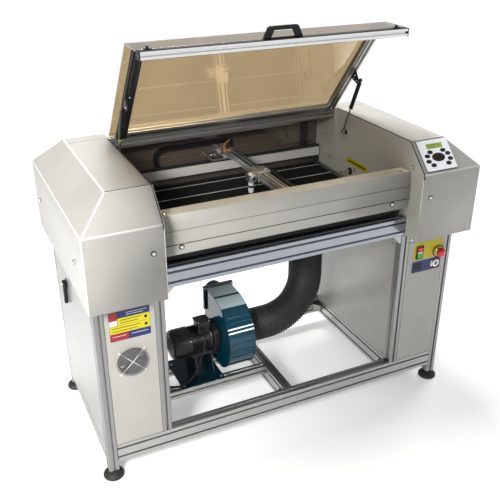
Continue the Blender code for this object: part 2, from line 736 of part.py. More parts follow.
def lid_handle(hinge):
    """A trapezoid grip with a finger opening, standing on the front rail's outer face."""
    outer = [(-0.078, 0), (-0.055, 0.043), (0.055, 0.043), (0.078, 0)]
    opening = [(-0.046, 0.008), (-0.036, 0.029), (0.036, 0.029), (0.046, 0.008)]
    handle = prism("lid_handle", outer, "Y", -0.006, 0.006, [opening])
    forward, down = skirt_point(SKIRT_LENGTH + GAP + FRONT_RAIL / 2, -GAP)
    handle.location = (0, -forward, -down)
    handle.rotation_euler = (Matrix.Rotation(SKIRT_ANGLE, 3, "X") @ AXIS_TURN["Y"].to_matrix()).to_euler()
    return hang_on_lid(link_piece(handle, BLACK_PLASTIC), hinge)


def strut_eye():
    """Where the strut meets the open lid, in the side view."""
    turn = Matrix.Rotation(-LID_OPEN_ANGLE, 3, "X")
    return turn @ Vector((0, -STRUT_EYE_FORWARD, -STRUT_EYE_DOWN)) + Vector((0, HINGE_Y, HINGE_Z))


def strut(prefix, side):
    """A gas strut: a rod from the wall's ball, inside a cylinder that ends in the lid's eye."""
    x = side * STRUT_X
    ball = Vector((x, STRUT_BALL.y, STRUT_BALL.z))
    eye = strut_eye()
    eye.x = x
    length = (eye - ball).length
    along = (eye - ball).normalized()
    stem = rod(f"{prefix}_strut_stem", ball + along * 0.004, ball + along * 0.148, 0.004, 16)
    boss = rod(f"{prefix}_strut_rod", (x - 0.0045, ball.y, ball.z), (x + 0.0045, ball.y, ball.z), 0.008, 16)
    link_piece(unite(boss, stem), STEEL)
    tube = rod(f"{prefix}_strut_cylinder", ball + along * 0.128, ball + along * (length - 0.006), 0.009, 20)
    end = rod(f"{prefix}_strut_end", (x - 0.0045, eye.y, eye.z), (x + 0.0045, eye.y, eye.z), 0.0075, 16)
    bore = rod(f"{prefix}_strut_bore", ball + along * 0.120, ball + along * 0.262, 0.0046, 16)
    link_piece(cut(unite(tube, end), bore), BLACK_PLASTIC)


def lid():
    hinge = bpy.data.objects.new("lid_hinge", None)
    MACHINE.objects.link(hinge)
    hinge.location = (0, HINGE_Y, HINGE_Z)
    hinge.rotation_euler = (-LID_OPEN_ANGLE, 0, 0)
    lid_sheet(hinge)
    lid_frame(hinge)
    lid_front_rail(hinge)
    lid_handle(hinge)
    strut("left", -1)
    strut("right", 1)


# --- Bed and motion --------------------------------------------------------------------------------

def slat_bed():
    """A shallow tray with thin slats standing across it."""
    front_y, rear_y = -0.290, 0.3625
    bottom_z = BED_TOP_Z - 0.0245
    tray = box("slat_bed", (-BED_HALF_WIDTH, front_y, bottom_z), (BED_HALF_WIDTH, rear_y, BED_TOP_Z - 0.003))
    wall = 0.006
    pocket = box("bed_pocket", (-BED_HALF_WIDTH + wall, front_y + wall, bottom_z + 0.003),
                 (BED_HALF_WIDTH - wall, rear_y - wall, BED_TOP_Z + 0.01))
    cut(tray, pocket)
    pitch = 0.117
    slats = []
    for index in range(5):
        y = 0.3065 - index * pitch
        slats.append(box(f"bed_slat_{index}", (-BED_HALF_WIDTH + wall - BITE, y - 0.0015, bottom_z + 0.002),
                         (BED_HALF_WIDTH - wall + BITE, y + 0.0015, BED_TOP_Z)))
    return link_piece(unite(tray, *slats), BLACK_PLASTIC)


def motion_frame():
    """The gantry's two rails, tied by bars beside the bed, and the shelf under the cable chain."""
    reach = 0.5125
    rear = box("motion_frame", (-reach, 0.3525, 0.920), (reach, 0.3725, 0.960))
    parts = [box("rear_guide", (-reach + INSET, 0.3555, 0.959), (reach - INSET, 0.3695, GUIDE_TOP_Z)),
             box("front_rail", (-reach, -0.2925, 0.920), (reach, -0.2725, 0.960)),
             box("front_guide", (-reach + INSET, -0.2895, 0.959), (reach - INSET, -0.2755, GUIDE_TOP_Z)),
             box("chain_shelf", (-reach + INSET, 0.3715, 0.941), (0.05, 0.3925, 0.9445))]
    for side in (-1, 1):
        low, high = sorted((side * 0.4930, side * (reach - 2 * INSET)))
        parts.append(box(f"side_bar_{side}", (low, -0.2920, 0.865), (high, 0.3720, 0.889)))
        for name, start, end in (("front", -0.2920, -0.2730), ("rear", 0.3530, 0.3720)):
            parts.append(box(f"{name}_upright_{side}", (low + INSET, start + INSET, 0.888),
                             (high - INSET, end - INSET, 0.921)))
    return link_piece(unite(rear, *parts), ALUMINIUM)


def gantry_beam():
    """The moving beam with a carriage plate at each end and the cable chain's bracket."""
    half = BEAM_WIDTH / 2
    beam = box("gantry_beam", (BEAM_X - half, -0.3025, GANTRY_BOTTOM_Z), (BEAM_X + half, 0.3875, GANTRY_TOP_Z))
    groove = [box(f"beam_groove_{side}", (BEAM_X + side * 0.010 - 0.003, -0.31, GANTRY_TOP_Z - 0.003),
                  (BEAM_X + side * 0.010 + 0.003, 0.39, GANTRY_TOP_Z + 0.01)) for side in (-1, 1)]
    cut(beam, *groove)
    low_z = GUIDE_TOP_Z + 0.002
    parts = [box("rear_carriage", (-0.045, 0.3330, low_z), (0.090, 0.3870, GANTRY_BOTTOM_Z + BITE)),
             box("front_carriage", (0.005, -0.3020, low_z), (0.099, -0.2600, GANTRY_BOTTOM_Z + BITE)),
             box("chain_post", (0.056, CHAIN_Y[0] + INSET, GANTRY_TOP_Z - 0.004), (0.066, 0.3870, 1.060)),
             box("chain_plate", (0.046, CHAIN_Y[0], 1.036), (0.066 - INSET, CHAIN_Y[1], 1.0595))]
    return link_piece(unite(beam, *parts), ALUMINIUM)


def head_carriage():
    """The saddle that rides the beam, and the block that holds the lens tube beside it."""
    left = BEAM_X - BEAM_WIDTH / 2 - 0.001
    right = BEAM_X + BEAM_WIDTH / 2 + 0.001
    low_y, high_y = HEAD_Y - 0.030, HEAD_Y + 0.045
    saddle = box("head_carriage", (left - 0.007, low_y, GANTRY_TOP_Z + 0.001), (right + 0.007, high_y, 1.020))
    parts = [box("saddle_left", (left - 0.007 + INSET, low_y + INSET, 0.976), (left, high_y - INSET, 1.014)),
             box("saddle_right", (right, low_y + INSET, 0.976), (right + 0.007 - INSET, high_y - INSET, 1.014))]
    parts.append(box("lens_block", (NOZZLE_X - 0.017, HEAD_Y - 0.018, 0.978),
                     (left - 0.006, HEAD_Y + 0.018, 1.008)))
    unite(saddle, *parts)
    cut(saddle, rod("lens_bore", (NOZZLE_X, HEAD_Y, 0.97), (NOZZLE_X, HEAD_Y, 1.02), 0.0119, 24))
    return link_piece(saddle, ALUMINIUM)


def lens_tube():
    """The focus tube with its conical nozzle."""
    profile = [(0, 1.011), (0.0115, 1.011), (0.0115, 0.945), (0.0105, 0.940), (0.0060, 0.926), (0.0045, 0.923),
               (0, 0.923)]
    return link_piece(turned("lens_tube", profile, (NOZZLE_X, HEAD_Y, 0), (0, 0, 1), 24), STEEL)


def drag_chain():
    """The cable chain's U: a top run to the gantry, a bend, and a lower run on the shelf."""
    centre_z = 0.9994
    bend = (-0.2458, centre_z)
    outer, inner = 0.0540, 0.0380
    steps = 12
    arc = [math.pi / 2 + math.pi * i / steps for i in range(steps + 1)]
    outside = [(bend[0] + outer * math.cos(a), bend[1] + outer * math.sin(a)) for a in arc]
    inside = [(bend[0] + inner * math.cos(a), bend[1] + inner * math.sin(a)) for a in reversed(arc)]
    outline = [(0.0455, bend[1] + outer), *outside, (-0.020, bend[1] - outer), (-0.020, bend[1] - inner),
               *inside, (0.0455, bend[1] + inner)]
    return link_piece(prism("drag_chain", outline, "Y", *CHAIN_Y), BLACK_PLASTIC)


# --- Blower ----------------------------------------------------------------------------------------

def spiral(shrink, last_angle):
    """The scroll's curve as (y, z) points, from the top round the front, the bottom and the rear."""
    points = []
    steps = 30
    for index in range(steps + 1):
        angle = 270 + (last_angle - 270) * index / steps
        radius = 0.130 + 0.045 * max(0.0, angle) / 270 - shrink
        turn = math.radians(angle)
        points.append((BLOWER_Y + radius * math.cos(turn), BLOWER_Z - radius * math.sin(turn)))
    return points


def blower_scroll():
    """The hollow blower housing: inlet on the right, motor side on the left, outlet to the rear."""
    flange_y = 0.1025
    top_z = BLOWER_Z + 0.175
    outer = [(flange_y + 0.001, top_z), *spiral(0, -39.7), (flange_y + 0.001, BLOWER_Z + 0.083)]
    body = prism("blower_scroll", outer, "X", *SCROLL_X)
    flange = box("outlet_flange", (SCROLL_X[0] - 0.010, flange_y, 0.375),
                 (SCROLL_X[1] + 0.010, flange_y + 0.015, 0.490))
    spigot_x = sum(SCROLL_X) / 2
    spigot = rod("outlet_spigot", (spigot_x, flange_y + 0.014, 0.434), (spigot_x, flange_y + 0.070, 0.434),
                 0.041, 32)
    wall = 0.004
    hollow = [(flange_y + 0.010, top_z - wall), *spiral(wall, -30), (0.095, 0.392), (flange_y + 0.010, 0.392)]
    cavity = prism("scroll_hollow", hollow, "X", SCROLL_X[0] + wall, SCROLL_X[1] - wall)
    bore = rod("outlet_bore", (spigot_x, flange_y - 0.02, 0.434), (spigot_x, flange_y + 0.08, 0.434), 0.038, 32)
    inlet = rod("inlet_bore", (SCROLL_X[1] - 0.02, BLOWER_Y, BLOWER_Z), (SCROLL_X[1] + 0.02, BLOWER_Y, BLOWER_Z),
                0.060, 32)
    shaft = rod("shaft_bore", (SCROLL_X[0] - 0.02, BLOWER_Y, BLOWER_Z), (SCROLL_X[0] + 0.02, BLOWER_Y, BLOWER_Z),
                0.016, 24)
    unite(body, flange, spigot)
    cut(body, cavity, bore, inlet, shaft)
    return link_piece(body, TEAL_PAINT)


def blower_impeller():
    """A back plate with radial blades on a shaft that leaves through the motor side."""
    x = SCROLL_X[0] + 0.010
    axis = (BLOWER_Y, BLOWER_Z)
    wheel = rod("blower_impeller", (x, *axis), (x + 0.004, *axis), 0.105, 32)
    parts = [rod("impeller_shaft", (SCROLL_X[0] - 0.0015, *axis), (x + 0.060, *axis), 0.012, 16)]
    count = 10
    for index in range(count):
        blade = box(f"impeller_blade_{index}", (0, -0.0012, 0.030), (0.062, 0.0012, 0.104))
        bpy.context.view_layer.update()
        spin = Matrix.Rotation(2 * math.pi * index / count, 4, "X")
        blade.matrix_world = Matrix.Translation((x + 0.003, *axis)) @ spin @ blade.matrix_world
        parts.append(blade)
    return link_piece(unite(wheel, *parts), ALUMINIUM)


def blower_motor():
    """The motor with its cowl, finned body, bell and terminal box, on a gusseted base plate."""
    start = -0.400
    profile = [(0, 0.213), (0.060, 0.213), (0.075, 0.205), (0.075, 0.168), (0.062, 0.162), (0.062, 0.087),
               (0.066, 0.085), (0.066, 0.006), (0.060, 0), (0, 0)]
    body = turned("blower_motor", profile, (start, BLOWER_Y, BLOWER_Z), (1, 0, 0), 32)
    plate_z = RAIL_TOP_Z
    parts = [box("terminal_box", (-0.285, BLOWER_Y - 0.035, BLOWER_Z + 0.050), (-0.215, BLOWER_Y + 0.035, 0.430)),
             box("motor_base", (-0.390, -0.1225, plate_z), (-0.195, 0.0975, plate_z + 0.004))]
    upright = [(BLOWER_Y - 0.075, plate_z + 0.003), (BLOWER_Y + 0.075, plate_z + 0.003),
               (BLOWER_Y + 0.040, BLOWER_Z - 0.040), (BLOWER_Y - 0.040, BLOWER_Z - 0.040)]
    for index, x in enumerate((-0.300, -0.225)):
        parts.append(prism(f"motor_gusset_{index}", upright, "X", x - 0.004, x + 0.004))
    return link_piece(unite(body, *parts), BLACK_PLASTIC)


def exhaust_duct():
    """A hose from the blower's inlet that bends up into the chamber's floor."""
    start_x = SCROLL_X[1] + GAP
    bend_start = DUCT_X - DUCT_BEND
    points = [(start_x, BLOWER_Z)]
    steps = 10
    for index in range(steps + 1):
        turn = math.pi / 2 * index / steps
        points.append((bend_start + DUCT_BEND * math.sin(turn), BLOWER_Z + DUCT_BEND * (1 - math.cos(turn))))
    points.append((DUCT_X, 0.7905 - GAP))
    curve = bpy.data.curves.new("exhaust_duct", "CURVE")
    curve.dimensions = "3D"
    curve.bevel_depth = DUCT_RADIUS - SHEET
    curve.bevel_resolution = 8
    curve.use_fill_caps = False
    spline = curve.splines.new("POLY")
    spline.points.add(len(points) - 1)
    for point, (x, z) in zip(spline.points, points):
        point.co = (x, BLOWER_Y, z, 1)
    duct = bpy.data.objects.new("exhaust_duct", curve)
    WORK.objects.link(duct)
    duct = as_mesh(duct, close=False)
    thicken(duct, 2 * SHEET, 0)
    return link_piece(duct, RUBBER)


# --- The whole machine -----------------------------------------------------------------------------

clear_scene()
MACHINE = collection("laser_cutter")
WORK = collection("laser_cutter_cutters")

base_frame()
cross_beam("front_beam", -POST_Y)
cross_beam("rear_beam", POST_Y)
floor_pan()
for label, direction in (("left", -1), ("right", 1)):
    pedestal_frame(f"{label}_pedestal_frame", direction)
    housing_shell(f"{label}_housing_shell", direction)
    inner_wall(f"{label}_inner_wall", direction)
    pedestal_panels(label, direction)
    for place, post_y in (("front", -POST_Y), ("rear", POST_Y)):
        foot(f"{label}_{place}_foot", direction * OUTER_POST_X, post_y)
front_panels()
front_fascia()
rear_cover()
rear_window()
hinge_beam()
estop_button()
rocker_button("stop_button", 0.6900, 0.7115, RED_PLASTIC)
rocker_button("start_button", 0.6615, 0.6830, GREEN_PLASTIC)
key_switch()
keypad()
panel_latch()
cabinet_fan_rotor()
lid()
slat_bed()
motion_frame()
gantry_beam()
head_carriage()
lens_tube()
drag_chain()
blower_scroll()
blower_impeller()
blower_motor()
exhaust_duct()
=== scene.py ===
"""Looks for the floor-standing laser cutter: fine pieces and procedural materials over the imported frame."""

import math

import bmesh
import bpy
from mathutils import Matrix, Vector


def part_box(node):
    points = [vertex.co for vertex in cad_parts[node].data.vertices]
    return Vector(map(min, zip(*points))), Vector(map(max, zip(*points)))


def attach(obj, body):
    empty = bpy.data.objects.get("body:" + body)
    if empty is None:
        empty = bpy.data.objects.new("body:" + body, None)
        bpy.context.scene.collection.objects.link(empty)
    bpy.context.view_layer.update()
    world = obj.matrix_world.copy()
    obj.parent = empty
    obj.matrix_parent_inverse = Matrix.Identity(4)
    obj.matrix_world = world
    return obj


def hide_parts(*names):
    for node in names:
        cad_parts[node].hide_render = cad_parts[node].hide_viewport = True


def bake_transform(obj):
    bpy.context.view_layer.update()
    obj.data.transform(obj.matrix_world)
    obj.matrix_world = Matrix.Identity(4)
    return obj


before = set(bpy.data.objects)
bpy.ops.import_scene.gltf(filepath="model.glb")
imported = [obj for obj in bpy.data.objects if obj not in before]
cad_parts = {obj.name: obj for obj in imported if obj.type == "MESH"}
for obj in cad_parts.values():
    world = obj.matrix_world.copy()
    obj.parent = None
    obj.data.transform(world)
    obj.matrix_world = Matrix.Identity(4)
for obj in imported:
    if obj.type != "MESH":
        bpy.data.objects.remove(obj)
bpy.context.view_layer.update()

MACHINE = "machine"

# Places shared with the frame, in metres.
HINGE = Vector((0.0, 0.2425, 1.178))
LID_OPEN = math.radians(51.3)
LID_PLACE = Matrix.Translation(HINGE) @ Matrix.Rotation(-LID_OPEN, 4, "X")
SKIRT_ANGLE = math.radians(52.0)
LID_FLAT = 0.530
PANEL_Y = -0.333
POST_Y = 0.3135
OUTER_POST_X = 0.756
INNER_POST_X = 0.533
RAIL_TOP_Z = 0.155
POST_TOP_Z = 0.782
BEAM_TOP_Z = 0.862
WALL_X = 0.5227
BLOWER_Y = 0.0025
BLOWER_Z = 0.305
SCROLL_X = (-0.185, -0.065)

# The housings' hoods: side edges, front edges and heights of their folds.
HOOD_INNER, HOOD_CREST, HOOD_OUTER = 0.525, 0.686, 0.8
HOOD_CREST_Y, HOOD_Y = 0.3075, 0.4125
HOOD_LOW, HOOD_SHOULDER, HOOD_TOP = 0.787, 1.068, 1.173

SHEET_END = 0.5222
SHEET_THICKNESS = 0.002
PANEL_SCREW_Z = (0.175, 0.722)
BED_X = 0.490
BED_Y = (-0.290, 0.3625)
BED_WALL_Z = (0.8686, 0.887)
SLAT_X = 0.4838
SLAT_BACK_Y = 0.3065
SLAT_PITCH = 0.117
CHAIN_PITCH = 0.0145
LID_SLOTS = {"depth": 0.005, "slot": 0.006, "cavity": 0.010}


# --- Materials -------------------------------------------------------------------------------------

def new_material(name):
    made = bpy.data.materials.new(name)
    made.use_nodes = True
    nodes = made.node_tree.nodes
    return made, nodes, made.node_tree.links, nodes["Principled BSDF"]


def textured(nodes, links, kind, scale, stretch=(1, 1, 1), detail=4.0):
    """A procedural texture in the object's own space, stretched along chosen axes."""
    place = nodes.new("ShaderNodeTexCoord")
    mapping = nodes.new("ShaderNodeMapping")
    mapping.inputs["Scale"].default_value = stretch
    texture = nodes.new(kind)
    texture.inputs["Scale"].default_value = scale
    if "Detail" in texture.inputs:
        texture.inputs["Detail"].default_value = detail
    links.new(place.outputs["Object"], mapping.inputs["Vector"])
    links.new(mapping.outputs["Vector"], texture.inputs["Vector"])
    return texture.outputs["Fac" if "Fac" in texture.outputs else "Distance"]


def ramp(nodes, links, factor, stops):
    made = nodes.new("ShaderNodeValToRGB")
    made.color_ramp.elements[0].position = stops[0][0]
    made.color_ramp.elements[0].color = (*stops[0][1], 1)
    made.color_ramp.elements[1].position = stops[-1][0]
    made.color_ramp.elements[1].color = (*stops[-1][1], 1)
    for position, colour in stops[1:-1]:
        made.color_ramp.elements.new(position).color = (*colour, 1)
    links.new(factor, made.inputs["Fac"])
    return made.outputs["Color"]


def spread(nodes, links, factor, low, high):
    made = nodes.new("ShaderNodeMapRange")
    made.inputs["To Min"].default_value = low
    made.inputs["To Max"].default_value = high
    links.new(factor, made.inputs["Value"])
    return made.outputs["Result"]


def bump(nodes, links, shader, height, strength, distance):
    made = nodes.new("ShaderNodeBump")
    made.inputs["Strength"].default_value = strength
    made.inputs["Distance"].default_value = distance
    links.new(height, made.inputs["Height"])
    links.new(made.outputs["Normal"], shader.inputs["Normal"])


def painted(name, colour, roughness=0.42, grain=900, strength=0.12, coat=0.0, gloss=0.5):
    """Powder coat or moulded plastic: fine grain in the bump, faint smudges in colour and gloss."""
    made, nodes, links, shader = new_material(name)
    smudge = textured(nodes, links, "ShaderNodeTexNoise", 5.0, detail=6.0)
    darker = tuple(channel * 0.94 for channel in colour)
    lighter = tuple(channel * 1.05 for channel in colour)
    links.new(ramp(nodes, links, smudge, [(0.3, darker), (0.7, lighter)]), shader.inputs["Base Color"])
    links.new(spread(nodes, links, smudge, roughness - 0.06, roughness + 0.08), shader.inputs["Roughness"])
    fine = textured(nodes, links, "ShaderNodeTexNoise", grain, detail=2.0)
    bump(nodes, links, shader, fine, strength, 0.0004)
    shader.inputs["Specular IOR Level"].default_value = gloss
    shader.inputs["Coat Weight"].default_value = coat
    shader.inputs["Coat Roughness"].default_value = 0.04
    return made


def brushed(name, colour, roughness, along, metallic=1.0):
    """Drawn or machined metal, with fine lines running along one axis."""
    made, nodes, links, shader = new_material(name)
    stretch = {"X": (0.02, 1, 1), "Y": (1, 0.02, 1), "Z": (1, 1, 0.02), "": (1, 1, 1)}[along]
    lines = textured(nodes, links, "ShaderNodeTexNoise", 900, stretch, 3.0)
    cloud = textured(nodes, links, "ShaderNodeTexNoise", 9, detail=5.0)
    darker = tuple(channel * 0.86 for channel in colour)
    links.new(ramp(nodes, links, lines, [(0.3, darker), (0.7, colour)]), shader.inputs["Base Color"])
    links.new(spread(nodes, links, cloud, roughness - 0.05, roughness + 0.10), shader.inputs["Roughness"])
    bump(nodes, links, shader, lines, 0.08, 0.0002)
    shader.inputs["Metallic"].default_value = metallic
    return made


def tinted(name, colour, clearness):
    """Clear tinted sheet with a faint haze and fine wipe marks."""
    made, nodes, links, shader = new_material(name)
    haze = textured(nodes, links, "ShaderNodeTexNoise", 7, (1, 0.3, 1), 6.0)
    deeper = tuple(channel * 0.93 for channel in colour)
    links.new(ramp(nodes, links, haze, [(0.35, deeper), (0.65, colour)]), shader.inputs["Base Color"])
    links.new(spread(nodes, links, haze, 0.02, 0.06), shader.inputs["Roughness"])
    shader.inputs["Transmission Weight"].default_value = clearness
    shader.inputs["IOR"].default_value = 1.49
    shader.inputs["Coat Weight"].default_value = 1.0
    shader.inputs["Coat IOR"].default_value = 1.9
    shader.inputs["Coat Roughness"].default_value = 0.0
    return made


def ribbed_rubber(name, colour):
    made, nodes, links, shader = new_material(name)
    cloud = textured(nodes, links, "ShaderNodeTexNoise", 40, detail=6.0)
    lighter = tuple(channel * 1.7 for channel in colour)
    links.new(ramp(nodes, links, cloud, [(0.3, colour), (0.8, lighter)]), shader.inputs["Base Color"])
    links.new(spread(nodes, links, cloud, 0.45, 0.62), shader.inputs["Roughness"])
    fine = textured(nodes, links, "ShaderNodeTexNoise", 700, detail=2.0)
    bump(nodes, links, shader, fine, 0.25, 0.0004)
    return made


def screen(name, colour):
    """A backlit display: faint pixel rows under gloss."""
    made, nodes, links, shader = new_material(name)
    dots = textured(nodes, links, "ShaderNodeTexVoronoi", 700)
    darker = tuple(channel * 0.8 for channel in colour)
    links.new(ramp(nodes, links, dots, [(0.0, darker), (0.5, colour)]), shader.inputs["Base Color"])
    links.new(spread(nodes, links, dots, 0.10, 0.18), shader.inputs["Roughness"])
    shader.inputs["Emission Color"].default_value = (*colour, 1)
    shader.inputs["Emission Strength"].default_value = 0.25
    return made


PAINT = painted("housing paint", (0.36, 0.352, 0.325), 0.34, coat=0.15)
# A lighter copy of the housing paint: painted highlight on the hoods' rounded edges, painted light on the rail
# covers.
PAINT_LIT = painted("lit copy of housing paint", (0.62, 0.61, 0.58), 0.22, coat=0.5)
# A darker copy of the housing paint for the pedestals' outer side panels: painted shade.
PAINT_SHADED = painted("shaded copy of housing paint", (0.21, 0.207, 0.198), 0.34, coat=0.15)
# Inside the machine; also laid over the fascia's top ledge as painted shade.
PAINT_DARK = painted("inner paint", (0.47, 0.465, 0.41), 0.30, coat=0.15)
METAL_X = brushed("aluminium along x", (0.48, 0.48, 0.47), 0.30, "X")
METAL_Y = brushed("aluminium along y", (0.46, 0.46, 0.45), 0.30, "Y")
METAL_Z = brushed("aluminium along z", (0.34, 0.34, 0.335), 0.32, "Z")
METAL_LIGHT = brushed("light aluminium", (0.85, 0.85, 0.84), 0.32, "Y")
METAL_RAIL = brushed("lid rail aluminium", (0.80, 0.80, 0.80), 0.20, "X")
METAL_BEAM = brushed("front beam metal", (0.36, 0.38, 0.42), 0.16, "X")
GUARD = painted("guard wire", (0.13, 0.13, 0.13), 0.35)
# Dark anodised parts; on the left lid rail this dark finish is painted shade.
METAL_DARK = brushed("dark anodised and lid rail shade", (0.07, 0.07, 0.075), 0.34, "X", 0.7)
STEEL = brushed("bright steel", (0.86, 0.86, 0.87), 0.16, "")
SLAT = painted("slat edges", (0.70, 0.70, 0.68), 0.35)
WHITE_METAL = painted("white nozzle", (0.80, 0.80, 0.78), 0.25, coat=0.3)
BLACK = painted("black plastic", (0.010, 0.010, 0.011), 0.42, 1200, 0.25, gloss=0.25)
BLACK_SATIN = painted("black enamel", (0.012, 0.012, 0.013), 0.32, 700, 0.15, coat=0.2)
MOTOR_BLACK = painted("motor enamel", (0.009, 0.009, 0.010), 0.34, 700, 0.25, gloss=0.4)
RUBBER = painted("foot rubber", (0.020, 0.020, 0.020), 0.62, 800, 0.35)
HOSE = ribbed_rubber("hose", (0.011, 0.011, 0.011))
TEAL = painted("teal enamel", (0.001, 0.034, 0.056), 0.10, 500, 0.01, coat=1.0, gloss=0.0)
# A pale copy of the teal enamel: painted highlight on the scroll's top.
TEAL_LIT = painted("lit copy of teal enamel", (0.30, 0.37, 0.40), 0.20, 500, 0.05, coat=0.5)
# A darker copy of the teal enamel: painted shade on the blower's base under the motor.
TEAL_SHADED = painted("shaded copy of teal enamel", (0.001, 0.015, 0.022), 0.20, 500, 0.04, coat=0.4, gloss=0.2)
TINT = tinted("tinted sheet", (0.62, 0.46, 0.26), 0.92)
# The rear window's tint, darkened far past the lid's: painted shade behind it.
TINT_SHADED = tinted("window tint with painted shade", (0.12, 0.095, 0.078), 0.30)
BED_BLACK = painted("bed black", (0.010, 0.010, 0.010), 0.50, 600, 0.3)
RED = painted("red cap", (0.60, 0.004, 0.010), 0.24, 1500, 0.05, coat=0.5)
GREEN = painted("green cap", (0.01, 0.38, 0.05), 0.26, 1500, 0.05, coat=0.5)
LENS_WHITE = painted("lamp lens", (0.78, 0.86, 0.78), 0.18, 1500, 0.04, coat=0.5)
YELLOW_PLATE = painted("yellow plate", (0.50, 0.43, 0.002), 0.35, 1500, 0.05)
BLUE_PLATE = painted("blue plate", (0.008, 0.016, 0.11), 0.35, 1500, 0.05)
RED_PLATE = painted("red plate", (0.26, 0.008, 0.018), 0.35, 1500, 0.05)
WHITE_PLATE = painted("white plate", (0.50, 0.50, 0.50), 0.35, 1500, 0.05)
SILVER_PLATE = painted("silver plate", (0.90, 0.90, 0.93), 0.30, 1500, 0.05, coat=0.2)
OLIVE = brushed("dark bronze keys", (0.075, 0.070, 0.045), 0.30, "")
DISPLAY = screen("display", (0.27, 0.40, 0.04))
AMBER = painted("amber cable", (0.42, 0.19, 0.03), 0.30, 900, 0.05, coat=0.6)


# --- Shapes ----------------------------------------------------------------------------------------

def new_object(name, data):
    made = bpy.data.objects.new(name, data)
    bpy.context.scene.collection.objects.link(made)
    return made


def smooth_mesh(name, shape, sharp, *looks):
    """A mesh from a shape, shaded smooth except over edges sharper than the given degrees."""
    mesh = bpy.data.meshes.new(name)
    shape.to_mesh(mesh)
    shape.free()
    mesh.shade_smooth()
    mesh.set_sharp_from_angle(angle=math.radians(sharp))
    for look in looks:
        mesh.materials.append(look)
    return mesh


def round_edges(piece, width, segments, sharp, material=-1):
    edge = piece.modifiers.new("Rounded edges", "BEVEL")
    edge.width = width
    edge.segments = segments
    edge.limit_method = "ANGLE"
    edge.angle_limit = math.radians(sharp)
    edge.harden_normals = True
    edge.material = material


def thicken(piece):
    """Gives sheet metal its thickness, inward from the drawn faces."""
    solid = piece.modifiers.new("Thickness", "SOLIDIFY")
    solid.thickness = SHEET_THICKNESS
    solid.offset = -1
    solid.use_even_offset = True


def add(name, shape, look, body=MACHINE, bevel=0.0, segments=2, place=None, replaces=()):
    """Makes a piece from a shape, with rounded edges, and lets it ride on a body."""
    if place is not None:
        shape.transform(place)
    bmesh.ops.recalc_face_normals(shape, faces=shape.faces)
    piece = new_object(name, smooth_mesh(name, shape, 32, look))
    if bevel > 0:
        round_edges(piece, bevel, segments, 32)
    if body:
        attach(piece, body)
    if replaces:
        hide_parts(*replaces)
    return piece


def merge(*shapes):
    """Puts several shapes into the first one."""
    first = shapes[0]
    for other in shapes[1:]:
        mesh = bpy.data.meshes.new("merged")
        other.to_mesh(mesh)
        other.free()
        first.from_mesh(mesh)
        bpy.data.meshes.remove(mesh)
    return first


def box(low, high):
    shape = bmesh.new()
    size = [b - a for a, b in zip(low, high)]
    middle = [(a + b) / 2 for a, b in zip(low, high)]
    bmesh.ops.create_cube(shape, size=1.0, matrix=Matrix.Translation(middle) @ Matrix.Diagonal((*size, 1.0)))
    return shape


def facing(direction):
    """Turns a shape's own Z towards a direction."""
    return Vector(direction).to_track_quat("Z", "Y").to_matrix().to_4x4()


def rod(start, end, radius, sides=32):
    along = Vector(end) - Vector(start)
    shape = bmesh.new()
    place = Matrix.Translation((Vector(start) + Vector(end)) / 2) @ facing(along)
    bmesh.ops.create_cone(shape, cap_ends=True, segments=sides, radius1=radius, radius2=radius,
                          depth=along.length, matrix=place)
    return shape


def turned(profile, base, axis, steps=48):
    """A profile of (radius, height) pairs turned about an axis; a profile off the axis is closed to a ring."""
    shape = bmesh.new()
    points = [shape.verts.new((radius, 0, height)) for radius, height in profile]
    pairs = list(zip(points, points[1:]))
    if profile[0][0] > 0:
        pairs.append((points[-1], points[0]))
    edges = [shape.edges.new(pair) for pair in pairs]
    bmesh.ops.spin(shape, geom=points + edges, axis=(0, 0, 1), cent=(0, 0, 0), angle=2 * math.pi, steps=steps)
    bmesh.ops.remove_doubles(shape, verts=shape.verts, dist=0.00001)
    shape.transform(Matrix.Translation(base) @ facing(axis))
    return shape


def ring_section(inner, outer, low, high):
    """A ring's section, as turned() takes it."""
    return [(inner, high), (outer, high), (outer, low), (inner, low)]


def slab(outline, axis, start, end):
    """A flat outline pushed along an axis: (y, z) along X, (x, z) along Y, (x, y) along Z."""
    shape = bmesh.new()

    def point(u, v, w):
        return {"X": (w, u, v), "Y": (u, w, v), "Z": (u, v, w)}[axis]

    near = [shape.verts.new(point(u, v, start)) for u, v in outline]
    far = [shape.verts.new(point(u, v, end)) for u, v in outline]
    shape.faces.new(near)
    shape.faces.new(list(reversed(far)))
    for index in range(len(outline)):
        after = (index + 1) % len(outline)
        shape.faces.new((near[index], far[index], far[after], near[after]))
    return shape


def tube(name, points, radius, look, body=MACHINE):
    """A round wire or cable through the given points, on one smooth curve."""
    curve = bpy.data.curves.new(name, "CURVE")
    curve.dimensions = "3D"
    curve.bevel_depth = radius
    curve.bevel_resolution = 4
    curve.use_fill_caps = True
    curve.resolution_u = 8
    spline = curve.splines.new("NURBS")
    spline.points.add(len(points) - 1)
    for control, point in zip(spline.points, points):
        control.co = (*point, 1)
    spline.order_u = min(4, len(points))
    spline.use_endpoint_u = True
    curve.materials.append(look)
    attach(new_object(name, curve), body)


def bolts(name, places, axis, radius=0.005, body=MACHINE, place=None):
    """Button-head screws, all facing one way, each on a dark washer."""
    parts = []
    washers = []
    below = -0.0008
    ring = ring_section(radius * 0.9, radius * 1.45, below, 0.0006)
    profile = [(0, radius * 0.3), (radius * 0.40, radius * 0.3), (radius * 0.42, radius * 0.62),
               (radius * 0.8, radius * 0.52), (radius, radius * 0.2), (radius, below), (0, below)]
    for spot in places:
        washers.append(turned(ring, spot, axis, 24))
        parts.append(turned(profile, spot, axis, 24))
    add(f"{name}_washers", merge(*washers), BLACK, body, place=place)
    add(name, merge(*parts), STEEL, body, place=place)


